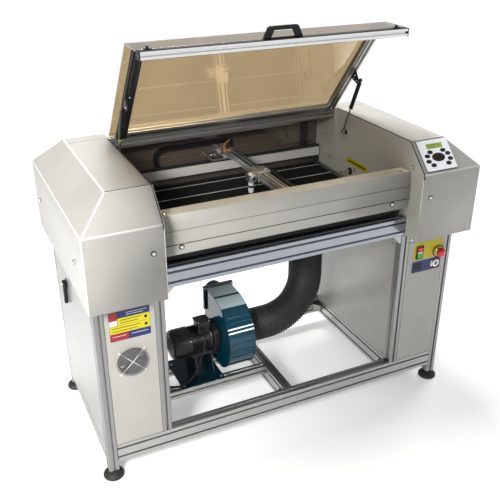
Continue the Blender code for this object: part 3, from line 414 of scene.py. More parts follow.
def rounded_rectangle(low, high, radius):
    points = []
    steps = 5
    corners = [((high[0] - radius, low[1] + radius), -90), ((high[0] - radius, high[1] - radius), 0),
               ((low[0] + radius, high[1] - radius), 90), ((low[0] + radius, low[1] + radius), 180)]
    for (u, v), turn in corners:
        for step in range(steps + 1):
            angle = math.radians(turn + 90 * step / steps)
            points.append((u + radius * math.cos(angle), v + radius * math.sin(angle)))
    return points


def slotted_outline(centre, width, height, module=0.040, slot=0.0082, lip=0.002, depth=0.009, cavity=0.016):
    """A slotted profile's section: rounded corners and an undercut slot for each module of every side."""
    radius = module * 0.06
    points = []
    sides = [((-1, -1), (1, 0), width), ((1, -1), (0, 1), height),
             ((1, 1), (-1, 0), width), ((-1, 1), (0, -1), height)]
    for (cu, cv), (du, dv), size in sides:
        corner = (cu * width / 2, cv * height / 2)
        points.append((corner[0] + du * radius, corner[1] + dv * radius))
        for index in range(max(1, round(size / module))):
            middle = (index + 0.5) * module
            for run, deep in ((-slot / 2, 0), (-slot / 2, lip), (-cavity / 2, lip), (-cavity / 2 + 0.004, depth),
                              (cavity / 2 - 0.004, depth), (cavity / 2, lip), (slot / 2, lip), (slot / 2, 0)):
                points.append((corner[0] + du * (middle + run) - dv * deep,
                               corner[1] + dv * (middle + run) + du * deep))
        points.append((corner[0] + du * (size - radius), corner[1] + dv * (size - radius)))
    return [(centre[0] + u, centre[1] + v) for u, v in points]


def bar(name, axis, centre, width, height, start, end, look=None, replaces=()):
    """A length of slotted profile."""
    looks = {"X": METAL_X, "Y": METAL_Y, "Z": METAL_Z}
    shape = slab(slotted_outline(centre, width, height), axis, start, end)
    add(name, shape, look or looks[axis], bevel=0.0005, segments=1, replaces=replaces)


def paint_node(node, look):
    """Gives a frame part its finish."""
    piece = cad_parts[node]
    piece.data.materials.clear()
    piece.data.materials.append(look)


# --- Frame -----------------------------------------------------------------------------------------

def base():
    """The lower frame's rails, one profile each, with corner brackets."""
    reach = OUTER_POST_X - 0.0203
    middle = RAIL_TOP_Z - 0.040
    inside = POST_Y - 0.0205
    bar("base_front", "X", (-POST_Y, middle), 0.040, 0.080, -reach, reach, replaces=("base_frame",))
    bar("base_back", "X", (POST_Y, middle), 0.040, 0.080, -reach, reach)
    for label, x in (("left", -INNER_POST_X), ("middle", 0.020), ("right", INNER_POST_X)):
        bar(f"base_{label}", "Y", (x, middle), 0.040, 0.080, -inside, inside)
    for label, y in (("front", -0.1025), ("back", 0.0575)):
        bar(f"blower_rail_{label}", "X", (y, RAIL_TOP_Z - 0.0205), 0.040, 0.039, -INNER_POST_X + 0.0205, -0.0005)
    for index, (x, side) in enumerate(((-INNER_POST_X, 1), (0.020, -1), (0.020, 1), (INNER_POST_X, -1))):
        for y, way in ((-inside, 1), (inside, -1)):
            corner_bracket(f"base_bracket_{index}_{'front' if y < 0 else 'back'}", x + side * 0.0205, y, side, way)


def corner_bracket(name, x, y, side, way):
    """A cast angle bracket in the corner between two rails, lying flat."""
    arm, wall = 0.034, 0.006
    outline = [(x, y), (x + side * arm, y), (x + side * arm, y + way * wall),
               (x + side * wall, y + way * arm), (x, y + way * arm)]
    add(name, slab(outline, "Z", RAIL_TOP_Z - 0.055, RAIL_TOP_Z - 0.025), METAL_Z, bevel=0.001)


def pedestal(prefix, side):
    """Posts and rails of one pedestal."""
    outer = side * OUTER_POST_X
    inner = side * INNER_POST_X
    node = (f"{prefix}_pedestal_frame",)
    for label, x, bottom in (("outer", outer, 0.035), ("inner", inner, RAIL_TOP_Z + 0.0003)):
        for end, y in (("front", -POST_Y), ("back", POST_Y)):
            bar(f"{prefix}_{label}_{end}_post", "Z", (x, y), 0.040, 0.040, bottom, POST_TOP_Z,
                replaces=node if label == "outer" and end == "front" else ())
    inside = POST_Y - 0.0201
    top = POST_TOP_Z - 0.020
    bar(f"{prefix}_top_outer", "Y", (outer, top), 0.039, 0.039, -inside, inside)
    bar(f"{prefix}_top_inner", "Y", (inner, top), 0.039, 0.039, -inside, inside)
    bar(f"{prefix}_low_outer", "Y", (outer, RAIL_TOP_Z - 0.040), 0.039, 0.080, -inside, inside)
    low, high = sorted((inner + side * 0.0201, outer - side * 0.0201))
    for end, y in (("front", -POST_Y), ("back", POST_Y)):
        bar(f"{prefix}_cross_{end}", "X", (y, top), 0.039, 0.039, low, high)


def feet():
    """Domed feet on a threaded neck with a lock nut."""
    profile = [(0, 0.0340), (0.011, 0.0340), (0.011, 0.0285), (0.014, 0.0265), (0.024, 0.0232), (0.033, 0.0180),
               (0.0385, 0.0125), (0.0400, 0.0090), (0.0400, 0.0025), (0.0380, 0), (0, 0)]
    for prefix, x in (("left", -OUTER_POST_X), ("right", OUTER_POST_X)):
        for end, y in (("front", -POST_Y), ("rear", POST_Y)):
            add(f"{prefix}_{end}_pad", turned(profile, (x, y, 0), (0, 0, 1)), RUBBER,
                replaces=(f"{prefix}_{end}_foot",))
            add(f"{prefix}_{end}_nut", rod((x, y, 0.0272), (x, y, 0.0345), 0.0125, 6), STEEL, bevel=0.0005)


def beams():
    for name, y in (("front_beam", -POST_Y), ("rear_beam", POST_Y)):
        bar(f"{name}_profile", "X", (y, (POST_TOP_Z + BEAM_TOP_Z) / 2 + 0.0001), 0.040, 0.0797, -0.776, 0.776,
            METAL_BEAM, replaces=(name,))


def opening_brackets():
    """Angle brackets with bolts in the top corners of the opening between the pedestals."""
    for side in (-1, 1):
        x = side * (INNER_POST_X - 0.0205)
        arm, wall = 0.036, 0.006
        outline = [(x, POST_TOP_Z), (x - side * arm, POST_TOP_Z), (x - side * arm, POST_TOP_Z - wall),
                   (x - side * wall, POST_TOP_Z - arm), (x, POST_TOP_Z - arm)]
        add(f"opening_bracket_{side}", slab(outline, "Y", -POST_Y - 0.015, -POST_Y + 0.015), METAL_Y, bevel=0.001)
        bolts(f"opening_bracket_bolts_{side}", [(x - side * 0.0075, -POST_Y, POST_TOP_Z - 0.022)],
              (-side, 0, 0), 0.006)


# --- Housings --------------------------------------------------------------------------------------

def housing(prefix, side):
    """The sheet-metal hood: a box with sloping front, rear and outer edge, open below and inside."""
    paint_node(f"{prefix}_housing_shell", PAINT)
    shape = bmesh.new()
    inner, crest, outer = side * HOOD_INNER, side * HOOD_CREST, side * HOOD_OUTER
    base_corners = [(inner, -HOOD_Y), (outer, -HOOD_Y), (outer, HOOD_Y), (inner, HOOD_Y)]
    top_corners = [(inner, -HOOD_CREST_Y), (crest, -HOOD_CREST_Y), (crest, HOOD_CREST_Y), (inner, HOOD_CREST_Y)]
    low = [shape.verts.new((x, y, HOOD_LOW)) for x, y in base_corners]
    shoulder = [shape.verts.new((x, y, HOOD_SHOULDER)) for x, y in base_corners]
    top = [shape.verts.new((x, y, HOOD_TOP)) for x, y in top_corners]
    for index in range(3):
        shape.faces.new((low[index], low[index + 1], shoulder[index + 1], shoulder[index]))
        shape.faces.new((shoulder[index], shoulder[index + 1], top[index + 1], top[index]))
    shape.faces.new(top)
    bmesh.ops.recalc_face_normals(shape, faces=shape.faces)
    up = next(face for face in shape.faces if abs(face.normal.z) > 0.99)
    if up.normal.z < 0:
        bmesh.ops.reverse_faces(shape, faces=shape.faces)
    name = f"{prefix}_hood"
    hood = new_object(name, smooth_mesh(name, shape, 20, PAINT, PAINT_LIT))
    # The rounded edges take the lighter paint copy in the second slot: a painted highlight along the hood's edges.
    round_edges(hood, 0.004, 3, 20, material=1)
    thicken(hood)
    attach(hood, MACHINE)
    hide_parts(f"{prefix}_housing_shell")
    bolts(f"{prefix}_hood_front_bolt", [(side * 0.565, -HOOD_Y, 0.971)], (0, -1, 0), 0.0070)
    bolts(f"{prefix}_hood_side_bolts", [(outer, -0.2555, 0.918), (outer, 0.3495, 0.918)], (side, 0, 0), 0.0065)
    gasket(prefix, side)
    seam_x = sorted((side * 0.527, side * 0.684))
    fold = rod((side * 0.528, -HOOD_CREST_Y, 1.1721), (side * 0.684, -HOOD_CREST_Y, 1.1721), 0.0015, 12)
    add(f"{prefix}_hood_fold", fold, BLACK)
    add(f"{prefix}_hood_seam", box((seam_x[0], 0.2418, 1.1722), (seam_x[1], 0.2432, 1.1733)), BLACK)


def gasket(prefix, side):
    """A black rubber edge strip along the housing's inner edge: along the top, then down the front slope."""
    x = side * 0.5262
    line = [(x, 0.2335, 1.1735), (x, -0.3065, 1.1735), (x, -0.4085, 1.0725), (x, -0.4135, 1.066),
            (x, -0.4120, 1.050)]
    radius = 0.0019
    parts = [rod(start, end, radius, 12) for start, end in zip(line, line[1:])]
    for joint in line[1:-1]:
        ball = bmesh.new()
        bmesh.ops.create_uvsphere(ball, u_segments=12, v_segments=8, radius=radius,
                                  matrix=Matrix.Translation(joint))
        parts.append(ball)
    add(f"{prefix}_gasket", merge(*parts), BLACK)


def inner_walls():
    """The sheets beside the bed with their screws, the strut mountings and the sensor rod."""
    for prefix, side in (("left", -1), ("right", 1)):
        paint_node(f"{prefix}_inner_wall", PAINT_DARK)
        face = side * WALL_X
        spots = [(face, 0.3355, 1.020), (face, 0.2725, 0.935), (face, 0.0595, 0.937), (face, -0.3425, 1.080)]
        bolts(f"{prefix}_wall_screws", spots, (-side, 0, 0), 0.0055)
        add(f"{prefix}_strut_mount", box_sorted((face, 0.1355, 1.078), (face - side * 0.004, 0.1695, 1.098)),
            BLACK_SATIN, bevel=0.001)
        # Painted highlight: a thin bright steel strip on the wall's front edge stands for the light caught along the
        # housing's inner vertical edge.
        add(f"{prefix}_wall_edge_highlight", box_sorted((face, -0.4118, 0.905), (face + side * 0.003, -0.4108, 1.062)), STEEL)
    add("wall_flash", box((WALL_X - 0.0006, -0.0405, 0.951), (WALL_X, 0.1285, 0.981)), YELLOW_PLATE, bevel=0.0002)
    add("wall_flash_band", box((WALL_X - 0.0010, -0.0245, 0.9625), (WALL_X - 0.0005, 0.1125, 0.9695)), BLACK)
    add("sensor_rod", rod((0.475, 0.0925, 0.921), (WALL_X, 0.0925, 0.921), 0.006), STEEL, bevel=0.0005)
    add("sensor_flange", turned([(0, 0.006), (0.012, 0.006), (0.017, 0.003), (0.017, 0), (0, 0)],
                                (WALL_X, 0.0925, 0.921), (-1, 0, 0)), BLACK_SATIN)


def box_sorted(first, second):
    return box([min(a, b) for a, b in zip(first, second)], [max(a, b) for a, b in zip(first, second)])


def bent_sheet(name, line, look, replaces):
    """A thin sheet bent along a (y, z) line with rounded bends."""
    shape = bmesh.new()
    width = 0.5224
    left = [shape.verts.new((-width, y, z)) for y, z in line]
    right = [shape.verts.new((width, y, z)) for y, z in line]
    for index in range(len(line) - 1):
        shape.faces.new((right[index], left[index], left[index + 1], right[index + 1]))
    piece = new_object(name, smooth_mesh(name, shape, 4, look))
    round_edges(piece, 0.0012, 2, 5)
    thicken(piece)
    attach(piece, MACHINE)
    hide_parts(*replaces)


def fascia():
    line = [(-0.2715, 1.058), (-0.3295, 1.058), (-0.3395, 1.001), (-0.3395, 0.949), (-0.3325, 0.906),
            (-0.3125, 0.906)]
    bent_sheet("fascia_sheet", line, PAINT, ("front_fascia",))
    # Painted shade: thin black strips along the fascia's fold and step stand for the dark lines where the sheet
    # bends.
    add("fascia_step_shade_line", box((-SHEET_END, -0.3402, 0.9475), (SHEET_END, -0.3392, 0.9500)), BLACK)
    add("fascia_fold_shade_line", box((-SHEET_END, -0.3398, 1.0004), (SHEET_END, -0.3392, 1.0016)), BLACK)
    # Painted shade: a thin layer gives the fascia's top ledge the inner paint's tone, for the lid's shade that falls
    # on it.
    add("fascia_ledge_shade", box((-SHEET_END, -0.3285, 1.0580), (SHEET_END, -0.2720, 1.0583)), PAINT_DARK)
    bolts("fascia_screws", [(-0.441, -0.3385, 0.937), (0.441, -0.3385, 0.937)], (0, -1, 0), 0.0068)
    bolts("ledge_screws", [(-0.489, -0.3125, 1.0583), (0.489, -0.3125, 1.0583)], (0, 0, 1), 0.0065)


def back():
    """The rear cover with its window, and the hinge beam."""
    paint_node("rear_cover", PAINT)
    # The rear window is tinted like the lid, darkened to stand for the shade behind it: painted shade.
    paint_node("rear_window", TINT_SHADED)
    bar("hinge_profile", "X", (0.2675, 1.150), 0.040, 0.040, -SHEET_END, SHEET_END, replaces=("hinge_beam",))
    seal = [box((-0.426, 0.4108, z), (0.426, 0.4128, z + 0.006)) for z in (0.864, 1.040)]
    seal += [box((x, 0.4108, 0.8705), (x + 0.006, 0.4128, 1.0395)) for x in (-0.426, 0.420)]
    add("window_seal", merge(*seal), BLACK)
    add("window_post", box((0.433, 0.3925, 0.905), (0.471, 0.4085, 1.068)), METAL_DARK, bevel=0.001)
    spots = [(x, 0.4125, z) for x in (-0.5, -0.17, 0.17, 0.5) for z in (0.83, 1.058)]
    bolts("rear_screws", spots, (0, 1, 0), 0.005)
    # Painted shade: the vents are black strips on the cover, standing for the shaded openings of vent slots.
    vents = [box((x - 0.045, 0.4121, 0.806 + row * 0.011), (x + 0.045, 0.4128, 0.810 + row * 0.011))
             for x in (-0.3, 0.3) for row in range(4)]
    add("rear_vents", merge(*vents), BLACK)
    add("chamber_floor", box((-0.5218, -0.2925, 0.7931), (0.5218, 0.2925, 0.7939)), PAINT_DARK)


def panels():
    """The pedestals' sheets with their screws."""
    for prefix, side in (("left", -1), ("right", 1)):
        for kind in ("front", "side", "inner", "rear"):
            # The outer side panels take the darker paint copy: painted shade.
            paint_node(f"{prefix}_{kind}_panel", PAINT_SHADED if kind == "side" else PAINT)
        outer = side * 0.7755
        inner = side * 0.5135
        for label, x, way in (("side", outer, side), ("inner", inner, -side)):
            spots = [(x, y, z) for y in (-0.275, 0.275) for z in PANEL_SCREW_Z]
            bolts(f"{prefix}_{label}_panel_screws", spots, (way, 0, 0), 0.0045)
        spots = [(side * x, 0.333, z) for x in (0.568, 0.721) for z in PANEL_SCREW_Z]
        bolts(f"{prefix}_rear_panel_screws", spots, (0, 1, 0), 0.0045)


# --- Left front panel ------------------------------------------------------------------------------

FAN = Vector((-0.648, PANEL_Y, 0.517))


def fan_guard():
    """A painted wire guard, rings, rim, crossed spokes and four screw eyes, with the fan's frame behind it."""
    y = PANEL_Y - 0.006
    front = (FAN.x, y, FAN.z)
    wire = 0.0011
    radii = [0.0060 + index * 0.0043 for index in range(12)]
    rings = [turned(ring_section(radius - wire, radius + wire, -0.0009, 0.0009), front, (0, -1, 0), 64)
             for radius in radii]
    add("fan_guard_rings", merge(*rings), GUARD)
    rim = turned(ring_section(0.0578, 0.0594, -0.0010, 0.0010), front, (0, -1, 0), 64)
    add("fan_guard_rim", rim, GUARD, bevel=0.0005)
    spokes = []
    eyes = []
    for quarter in range(4):
        angle = math.radians(45 + 90 * quarter)
        tip = Vector((FAN.x + 0.0665 * math.cos(angle), y + 0.002, FAN.z + 0.0665 * math.sin(angle)))
        spokes.append(rod((FAN.x, y - 0.0015, FAN.z), tip, wire, 12))
        eyes.append(rod((tip.x, PANEL_Y - 0.0065, tip.z), (tip.x, PANEL_Y, tip.z), 0.0028, 20))
    add("fan_guard_spokes", merge(*spokes), WHITE_METAL)
    add("fan_guard_eyes", merge(*eyes), WHITE_METAL, bevel=0.0008)
    paint_node("cabinet_fan_rotor", BLACK)
    duct = turned(ring_section(0.0545, 0.0575, 0, 0.034), (FAN.x, PANEL_Y + 0.0022, FAN.z), (0, 1, 0))
    add("fan_frame", duct, BLACK)
    hub = Vector((FAN.x, PANEL_Y + 0.033, FAN.z))
    arms = []
    for third in range(3):
        angle = math.radians(90 + 120 * third)
        arms.append(rod(hub, hub + 0.056 * Vector((math.cos(angle), 0, math.sin(angle))), 0.0025, 12))
    add("fan_arms", merge(*arms), BLACK)


def generic_label():
    """A plate of plain colour blocks with small bars and dots, and no lettering."""
    x0, x1, z0, z1 = -0.720, -0.571, 0.616, 0.735
    y = PANEL_Y - 0.0004
    add("label_plate", box((x0, y, z0), (x1, PANEL_Y, z1)), BLACK)

    def block(name, u0, u1, v0, v1, look, lift=0.0003):
        width, height = x1 - x0, z1 - z0
        add(name, box((x0 + u0 * width, y - lift, z0 + v0 * height), (x0 + u1 * width, y, z0 + v1 * height)), look)

    blocks = (("blue_top", 0.21, 0.995, 0.775, 0.99, BLUE_PLATE), ("red_corner", 0.005, 0.20, 0.72, 0.99, RED_PLATE),
              ("white_block", 0.005, 0.20, 0.525, 0.71, WHITE_PLATE),
              ("yellow_top", 0.21, 0.995, 0.525, 0.765, YELLOW_PLATE),
              ("yellow_low", 0.005, 0.995, 0.265, 0.515, YELLOW_PLATE),
              ("red_foot", 0.005, 0.455, 0.01, 0.255, RED_PLATE),
              ("blue_foot", 0.465, 0.995, 0.01, 0.255, BLUE_PLATE))
    for name, *place, look in blocks:
        block(f"label_{name}", *place, look)
    dark_bars = ((0.26, 0.78, 0.69), (0.26, 0.70, 0.60), (0.05, 0.76, 0.44), (0.05, 0.68, 0.34))
    light_bars = ((0.42, 0.93, 0.92), (0.42, 0.84, 0.85), (0.06, 0.40, 0.16), (0.52, 0.93, 0.16))
    dots = ((0.86, 0.93, 0.645), (0.86, 0.93, 0.39))
    for name, rows, half, look in (("bar", dark_bars, 0.010, BLACK), ("light_bar", light_bars, 0.009, WHITE_PLATE),
                                   ("dot", dots, 0.045, BLACK)):
        for row, (u0, u1, v) in enumerate(rows):
            block(f"label_{name}_{row}", u0, u1, v - half, v + half, look, 0.0005)


# --- Right front panel -----------------------------------------------------------------------------

def switches():
    """Colour plates, the dual push button, the emergency stop, the key switch and two sockets."""
    y = PANEL_Y - 0.0006
    out = (0, -1, 0)
    add("yellow_plate", slab(rounded_rectangle((0.580, 0.650), (0.732, 0.732), 0.003), "Y", y, PANEL_Y), YELLOW_PLATE)
    add("blue_plate", slab(rounded_rectangle((0.579, 0.591), (0.728, 0.645), 0.005), "Y", y, PANEL_Y), BLUE_PLATE)
    sides = ((0.594, 0.5975, 0.657, 0.716), (0.6245, 0.628, 0.657, 0.716),
             (0.5976, 0.6244, 0.657, 0.6604), (0.5976, 0.6244, 0.7126, 0.716))
    bezel = [box((x0, PANEL_Y - 0.0062, z0), (x1, PANEL_Y, z1)) for x0, x1, z0, z1 in sides]
    add("switch_frame", merge(*bezel), BLACK, bevel=0.0006)
    paint_node("start_button", GREEN)
    paint_node("stop_button", RED)
    add("lamp_lens", box((0.5990, PANEL_Y - 0.0085, 0.6838), (0.6230, PANEL_Y + 0.002, 0.6892)), LENS_WHITE,
        bevel=0.0008)
    add("switch_back", box((0.5985, PANEL_Y + 0.012, 0.6615), (0.6235, PANEL_Y + 0.020, 0.7115)), BLACK)
    centre = (0.710, PANEL_Y, 0.673)
    on_plate = (0.710, y, 0.673)
    add("estop_ring", turned(ring_section(0.0165, 0.0290, 0, 0.0009), on_plate, out), BLACK)
    add("estop_ring_inner", turned(ring_section(0.0170, 0.0240, 0, 0.0013), on_plate, out), YELLOW_PLATE)
    collar = [(0.0118, 0.0102), (0.0160, 0.0102), (0.0172, 0.0085), (0.0172, 0), (0.0118, 0)]
    add("estop_collar", turned(collar, centre, out), STEEL)
    head = [(0, 0.0330), (0.0060, 0.0327), (0.0120, 0.0315), (0.0165, 0.0295), (0.0195, 0.0265), (0.0208, 0.0225),
            (0.0210, 0.0180), (0.0200, 0.0160), (0.0170, 0.0153), (0.0105, 0.0153), (0.0105, -0.012), (0, -0.012)]
    add("estop_head", turned(head, centre, out, 64), RED, "estop", replaces=("estop_button",))
    key = (0.700, PANEL_Y, 0.620)
    add("key_plate", slab(rounded_rectangle((0.6765, 0.6065), (0.700, 0.6335), 0.006), "Y", PANEL_Y - 0.003, y),
        STEEL, bevel=0.0006)
    ring = [(0.0095, 0.0085), (0.0140, 0.0085), (0.0172, 0.0060), (0.0177, 0), (0.0095, 0)]
    add("key_ring", turned(ring, key, out), STEEL)
    barrel = turned([(0, 0.0095), (0.0075, 0.0095), (0.0088, 0.0085), (0.0088, -0.010), (0, -0.010)], key, out)
    add("key_barrel", barrel, BLACK, "key_lock", replaces=("key_switch",))
    add("key_slot", box((0.6991, PANEL_Y - 0.0100, 0.6150), (0.7009, PANEL_Y - 0.0090, 0.6250)), STEEL, "key_lock",
        bevel=0.0003)
    for index, z in enumerate((0.6265, 0.6085)):
        add(f"socket_{index}", slab(rounded_rectangle((0.589, z - 0.0065), (0.629, z + 0.0065), 0.002), "Y",
                                    PANEL_Y - 0.0022, y), BLACK, bevel=0.0005)
        add(f"socket_tongue_{index}", box((0.594, PANEL_Y - 0.0026, z - 0.002), (0.624, PANEL_Y - 0.0018, z + 0.002)),
            METAL_DARK)


# --- Keypad ----------------------------------------------------------------------------------------

def slope_place():
    """Carries flat drawings to the right housing's front slope."""
    up = Vector((0, 1, 1)).normalized()
    normal = Vector((0, -1, 1)).normalized()
    turn = Matrix((Vector((1, 0, 0)), up, normal)).transposed().to_4x4()
    return Matrix.Translation((0, -0.4125, 1.068)) @ turn


def keypad():
    place = slope_place()
    paint_node("keypad_panel", SILVER_PLATE)
    nav = (0.618, 0.065)
    edge = slab(rounded_rectangle((0.5415, 0.0090), (0.6890, 0.1445), 0.004), "Z", 0.0001, 0.0009)
    add("keypad_seal", edge, BLACK, place=place)
    bezel = slab(rounded_rectangle((0.5798, 0.1036), (0.6562, 0.1256), 0.002), "Z", 0.0038, 0.0042)
    add("display_bezel", bezel, BLACK, place=place)
    screen_plate = slab(rounded_rectangle((0.5815, 0.1052), (0.6545, 0.1238), 0.0015), "Z", 0.0040, 0.0046)
    add("display_glass", screen_plate, DISPLAY, place=place)
    rows = [box((0.586, 0.1205 - row * 0.0042, 0.0046), (0.586 + width, 0.1215 - row * 0.0042, 0.00475))
            for row, width in enumerate((0.045, 0.060, 0.038, 0.052))]
    add("display_rows", merge(*rows), BLACK, place=place)
    add("nav_key", oval_key(nav, (0.0305, 0.0185)), OLIVE, "nav", place=place, replaces=("nav_disc",))
    arrows = []
    for turn, reach in ((0, 0.0225), (90, 0.0125), (180, 0.0225), (270, 0.0125)):
        arrow = slab([(-0.0014, -0.0030), (0.0022, 0), (-0.0014, 0.0030)], "Z", 0.0064, 0.0069)
        arrow.transform(Matrix.Translation((*nav, 0)) @ Matrix.Rotation(math.radians(turn), 4, "Z")
                        @ Matrix.Translation((reach, 0, 0)))
        arrows.append(arrow)
    add("nav_arrows", merge(*arrows), STEEL, "nav", place=place)
    spots = [(-0.0303, 0.025), (-0.0493, 0.010), (-0.052, -0.013), (-0.036, -0.031), (0.032, 0.026), (0.049, 0.010),
             (0.0515, -0.013), (0.0356, -0.031)]
    for index, (du, dv) in enumerate(spots, 1):
        centre = (nav[0] + du, nav[1] + dv)
        add(f"key_cap_{index}", oval_key(centre, (0.0130, 0.0085)), BLACK_SATIN, f"keypad_key_{index}", place=place,
            replaces=(f"keypad_button_{index}",))
        dot = turned([(0, 0.0071), (0.0024, 0.0070), (0.0028, 0.0062), (0, 0.0062)], (*centre, 0), (0, 0, 1), 24)
        add(f"key_dot_{index}", dot, OLIVE, f"keypad_key_{index}", place=place)


def oval_key(centre, size):
    """A domed oval key: a turned button stretched to its length and width."""
    profile = [(0, 0.0066), (0.55, 0.0065), (0.80, 0.0062), (0.94, 0.0057), (1.0, 0.0049), (1.0, 0.0020), (0, 0.0020)]
    key = turned(profile, (0, 0, 0), (0, 0, 1), 48)
    key.transform(Matrix.Translation((*centre, 0)) @ Matrix.Diagonal((size[0], size[1], 1, 1)))
    return key


# --- Lid -------------------------------------------------------------------------------------------

def skirt_point(along, inward):
    return (LID_FLAT + along * math.cos(SKIRT_ANGLE) - inward * math.sin(SKIRT_ANGLE),
            along * math.sin(SKIRT_ANGLE) + inward * math.cos(SKIRT_ANGLE))


def lid():
    """Tinted sheet, side and rear rails, the front rail with caps, catches and handle, and three hinges."""
    paint_node("lid_sheet", TINT)
    near, far = 0.0053, 0.0253
    half = math.tan(SKIRT_ANGLE / 2)
    skirt = LID_PLACE @ Matrix.Translation((0, -LID_FLAT, 0)) @ Matrix.Rotation(SKIRT_ANGLE, 4, "X")
    eye_y, eye_z = -0.252, -0.056
    for label, side in (("left", -1), ("right", 1)):
        rail = slotted_outline((side * 0.475, -(near + far) / 2), 0.040, 0.020, 0.020, **LID_SLOTS)
        # Painted shade: the left rail and arm take the dark finish where the right ones take plain aluminium, for the
        # shade the left rail lies in.
        look = METAL_DARK if side < 0 else METAL_Y
        add(f"lid_{label}_rail", slab(rail, "Y", -(LID_FLAT - far * half), -0.003), look, "lid", 0.0005, 1, LID_PLACE,
            ("lid_frame",) if side < 0 else ())
        add(f"lid_{label}_arm", slab(rail, "Y", -0.1205, far * half - 0.012), look, "lid", 0.0005, 1, skirt)
        plate = [(eye_y - 0.024, -far + 0.004), (eye_y + 0.024, -far + 0.004), (eye_y + 0.009, eye_z - 0.010),
                 (eye_y - 0.009, eye_z - 0.010)]
        start, end = sorted((side * 0.4902, side * 0.4950))
        add(f"{label}_strut_bracket", slab(plate, "X", start, end), BLACK_SATIN, "lid", 0.001, 2, LID_PLACE)
        pin = rod((side * 0.488, eye_y, eye_z), (side * 0.4996, eye_y, eye_z), 0.004)
        add(f"{label}_strut_pin", pin, STEEL, "lid", 0.0006, 2, LID_PLACE)
        spots = [(side * 0.4895, eye_y + shift, -0.035) for shift in (-0.010, 0.010)]
        bolts(f"{label}_bracket_bolts", spots, (-side, 0, 0), 0.004, "lid", LID_PLACE)
        spots = [(side * 0.475, -y, -far) for y in (0.03, 0.27, 0.49)]
        bolts(f"lid_{label}_rail_bolts", spots, (0, 0, -1), 0.0045, "lid", LID_PLACE)
    rear = slotted_outline((-0.023, -(near + far) / 2), 0.038, 0.019, 0.0195, **LID_SLOTS)
    add("lid_rear_rail", slab(rear, "X", -0.4545, 0.4545), METAL_X, "lid", 0.0005, 1, LID_PLACE)
    front_rail()
    for index, x in enumerate((-0.40, 0.0, 0.40)):
        hinge(index, x)


def front_rail():
    """The lid's front rail: profile, end caps, black lip, two catches and the handle."""
    forward, down = skirt_point(0.1205 + 0.0003 + 0.015, 0.015)
    turn = LID_PLACE @ Matrix.Translation((0, -forward, -down)) @ Matrix.Rotation(SKIRT_ANGLE, 4, "X")
    outline = slotted_outline((0, 0), 0.030, 0.030, module=0.030, slot=0.008, lip=0.0018, depth=0.008, cavity=0.013)
    add("front_rail", slab(outline, "X", -0.5135, 0.5135), METAL_RAIL, "lid", 0.0005, 1, turn, ("lid_front_rail",))
    for side in (-1, 1):
        x0, x1 = sorted((side * 0.5136, side * 0.518))
        add(f"front_rail_cap_{side}", box((x0, -0.0151, -0.0151), (x1, 0.0151, 0.0151)), BLACK, "lid", 0.0012, 2,
            turn)
    add("rail_lip", box((-0.5135, -0.0152, 0.0146), (0.5135, 0.0100, 0.0158)), BLACK, "lid", 0.0003, 1, turn)
    for index, x in enumerate((-0.483, 0.472)):
        catch = merge(box((x - 0.013, -0.004, 0.0155), (x + 0.013, 0.009, 0.0190)),
                      box((x - 0.005, -0.003, 0.0185), (x + 0.002, 0.006, 0.0270)))
        add(f"lid_catch_{index}", catch, BLACK, "lid", 0.0008, 2, turn)
    half = [(0.052, 0.0585), (0.059, 0.0545), (0.074, 0.0225), (0.078, 0.0155), (0.051, 0.0155), (0.046, 0.0235),
            (0.036, 0.0440)]
    outer = [*half, *((-x, z) for x, z in reversed(half))]
    add("handle_grip", slab(outer, "Y", -0.006, 0.006), BLACK, "lid", 0.0018, 3, turn, ("lid_handle",))
    add("handle_foot", box((-0.076, -0.006, 0.0153), (0.076, 0.006, 0.0205)), BLACK, "lid", 0.0012, 2, turn)


def hinge(index, x):
    """A butt hinge: a knuckle row on the hinge line, one leaf on the beam and one on the lid."""
    starts = [x - 0.035 + step * 0.0142 for step in range(5)]
    knuckles = [rod((start, HINGE.y, HINGE.z), (start + 0.0132, HINGE.y, HINGE.z), 0.0045, 20) for start in starts]
    add(f"hinge_knuckle_{index}", merge(*knuckles), STEEL)
    add(f"hinge_beam_leaf_{index}", box((x - 0.035, 0.2445, 1.1706), (x + 0.035, 0.2700, 1.1725)), STEEL)
    leaf = box((x - 0.035, -0.026, 0.0002), (x + 0.035, -0.004, 0.0020))
    add(f"hinge_lid_leaf_{index}", leaf, STEEL, "lid", place=LID_PLACE)


def struts():
    """Gas struts: a bright rod, a black cylinder, end fittings and a coloured collar."""
    ball_yz = Vector((0, 0.1525, 1.088))
    eye = LID_PLACE @ Vector((0, -0.252, -0.056))
    along = (eye - ball_yz).normalized()
    length = (eye - ball_yz).length
    for label, side in (("left", -1), ("right", 1)):
        ball = Vector((side * 0.510, ball_yz.y, ball_yz.z))
        tip = ball + along * length
        rod_shape = merge(rod(ball + along * 0.006, ball + along * 0.148, 0.004, 24),
                          rod((ball.x - 0.0045, ball.y, ball.z), (ball.x + 0.0045, ball.y, ball.z), 0.008, 24))
        add(f"{label}_piston", rod_shape, STEEL, f"{label}_strut_lower", 0.0005, 2, replaces=(f"{label}_strut_rod",))
        body = merge(rod(ball + along * 0.1285, tip - along * 0.012, 0.009, 32),
                     rod(tip - along * 0.013, tip - along * 0.004, 0.0045, 24),
                     rod((tip.x - 0.0045, tip.y, tip.z), (tip.x + 0.0045, tip.y, tip.z), 0.0075, 24))
        add(f"{label}_cylinder", body, BLACK_SATIN, f"{label}_strut_upper", 0.001, 2,
            replaces=(f"{label}_strut_cylinder",))
        add(f"{label}_collar", rod(ball + along * 0.1278, ball + along * 0.1330, 0.0095, 32), YELLOW_PLATE,
            f"{label}_strut_upper", 0.0006)


# --- Bed and motion --------------------------------------------------------------------------------

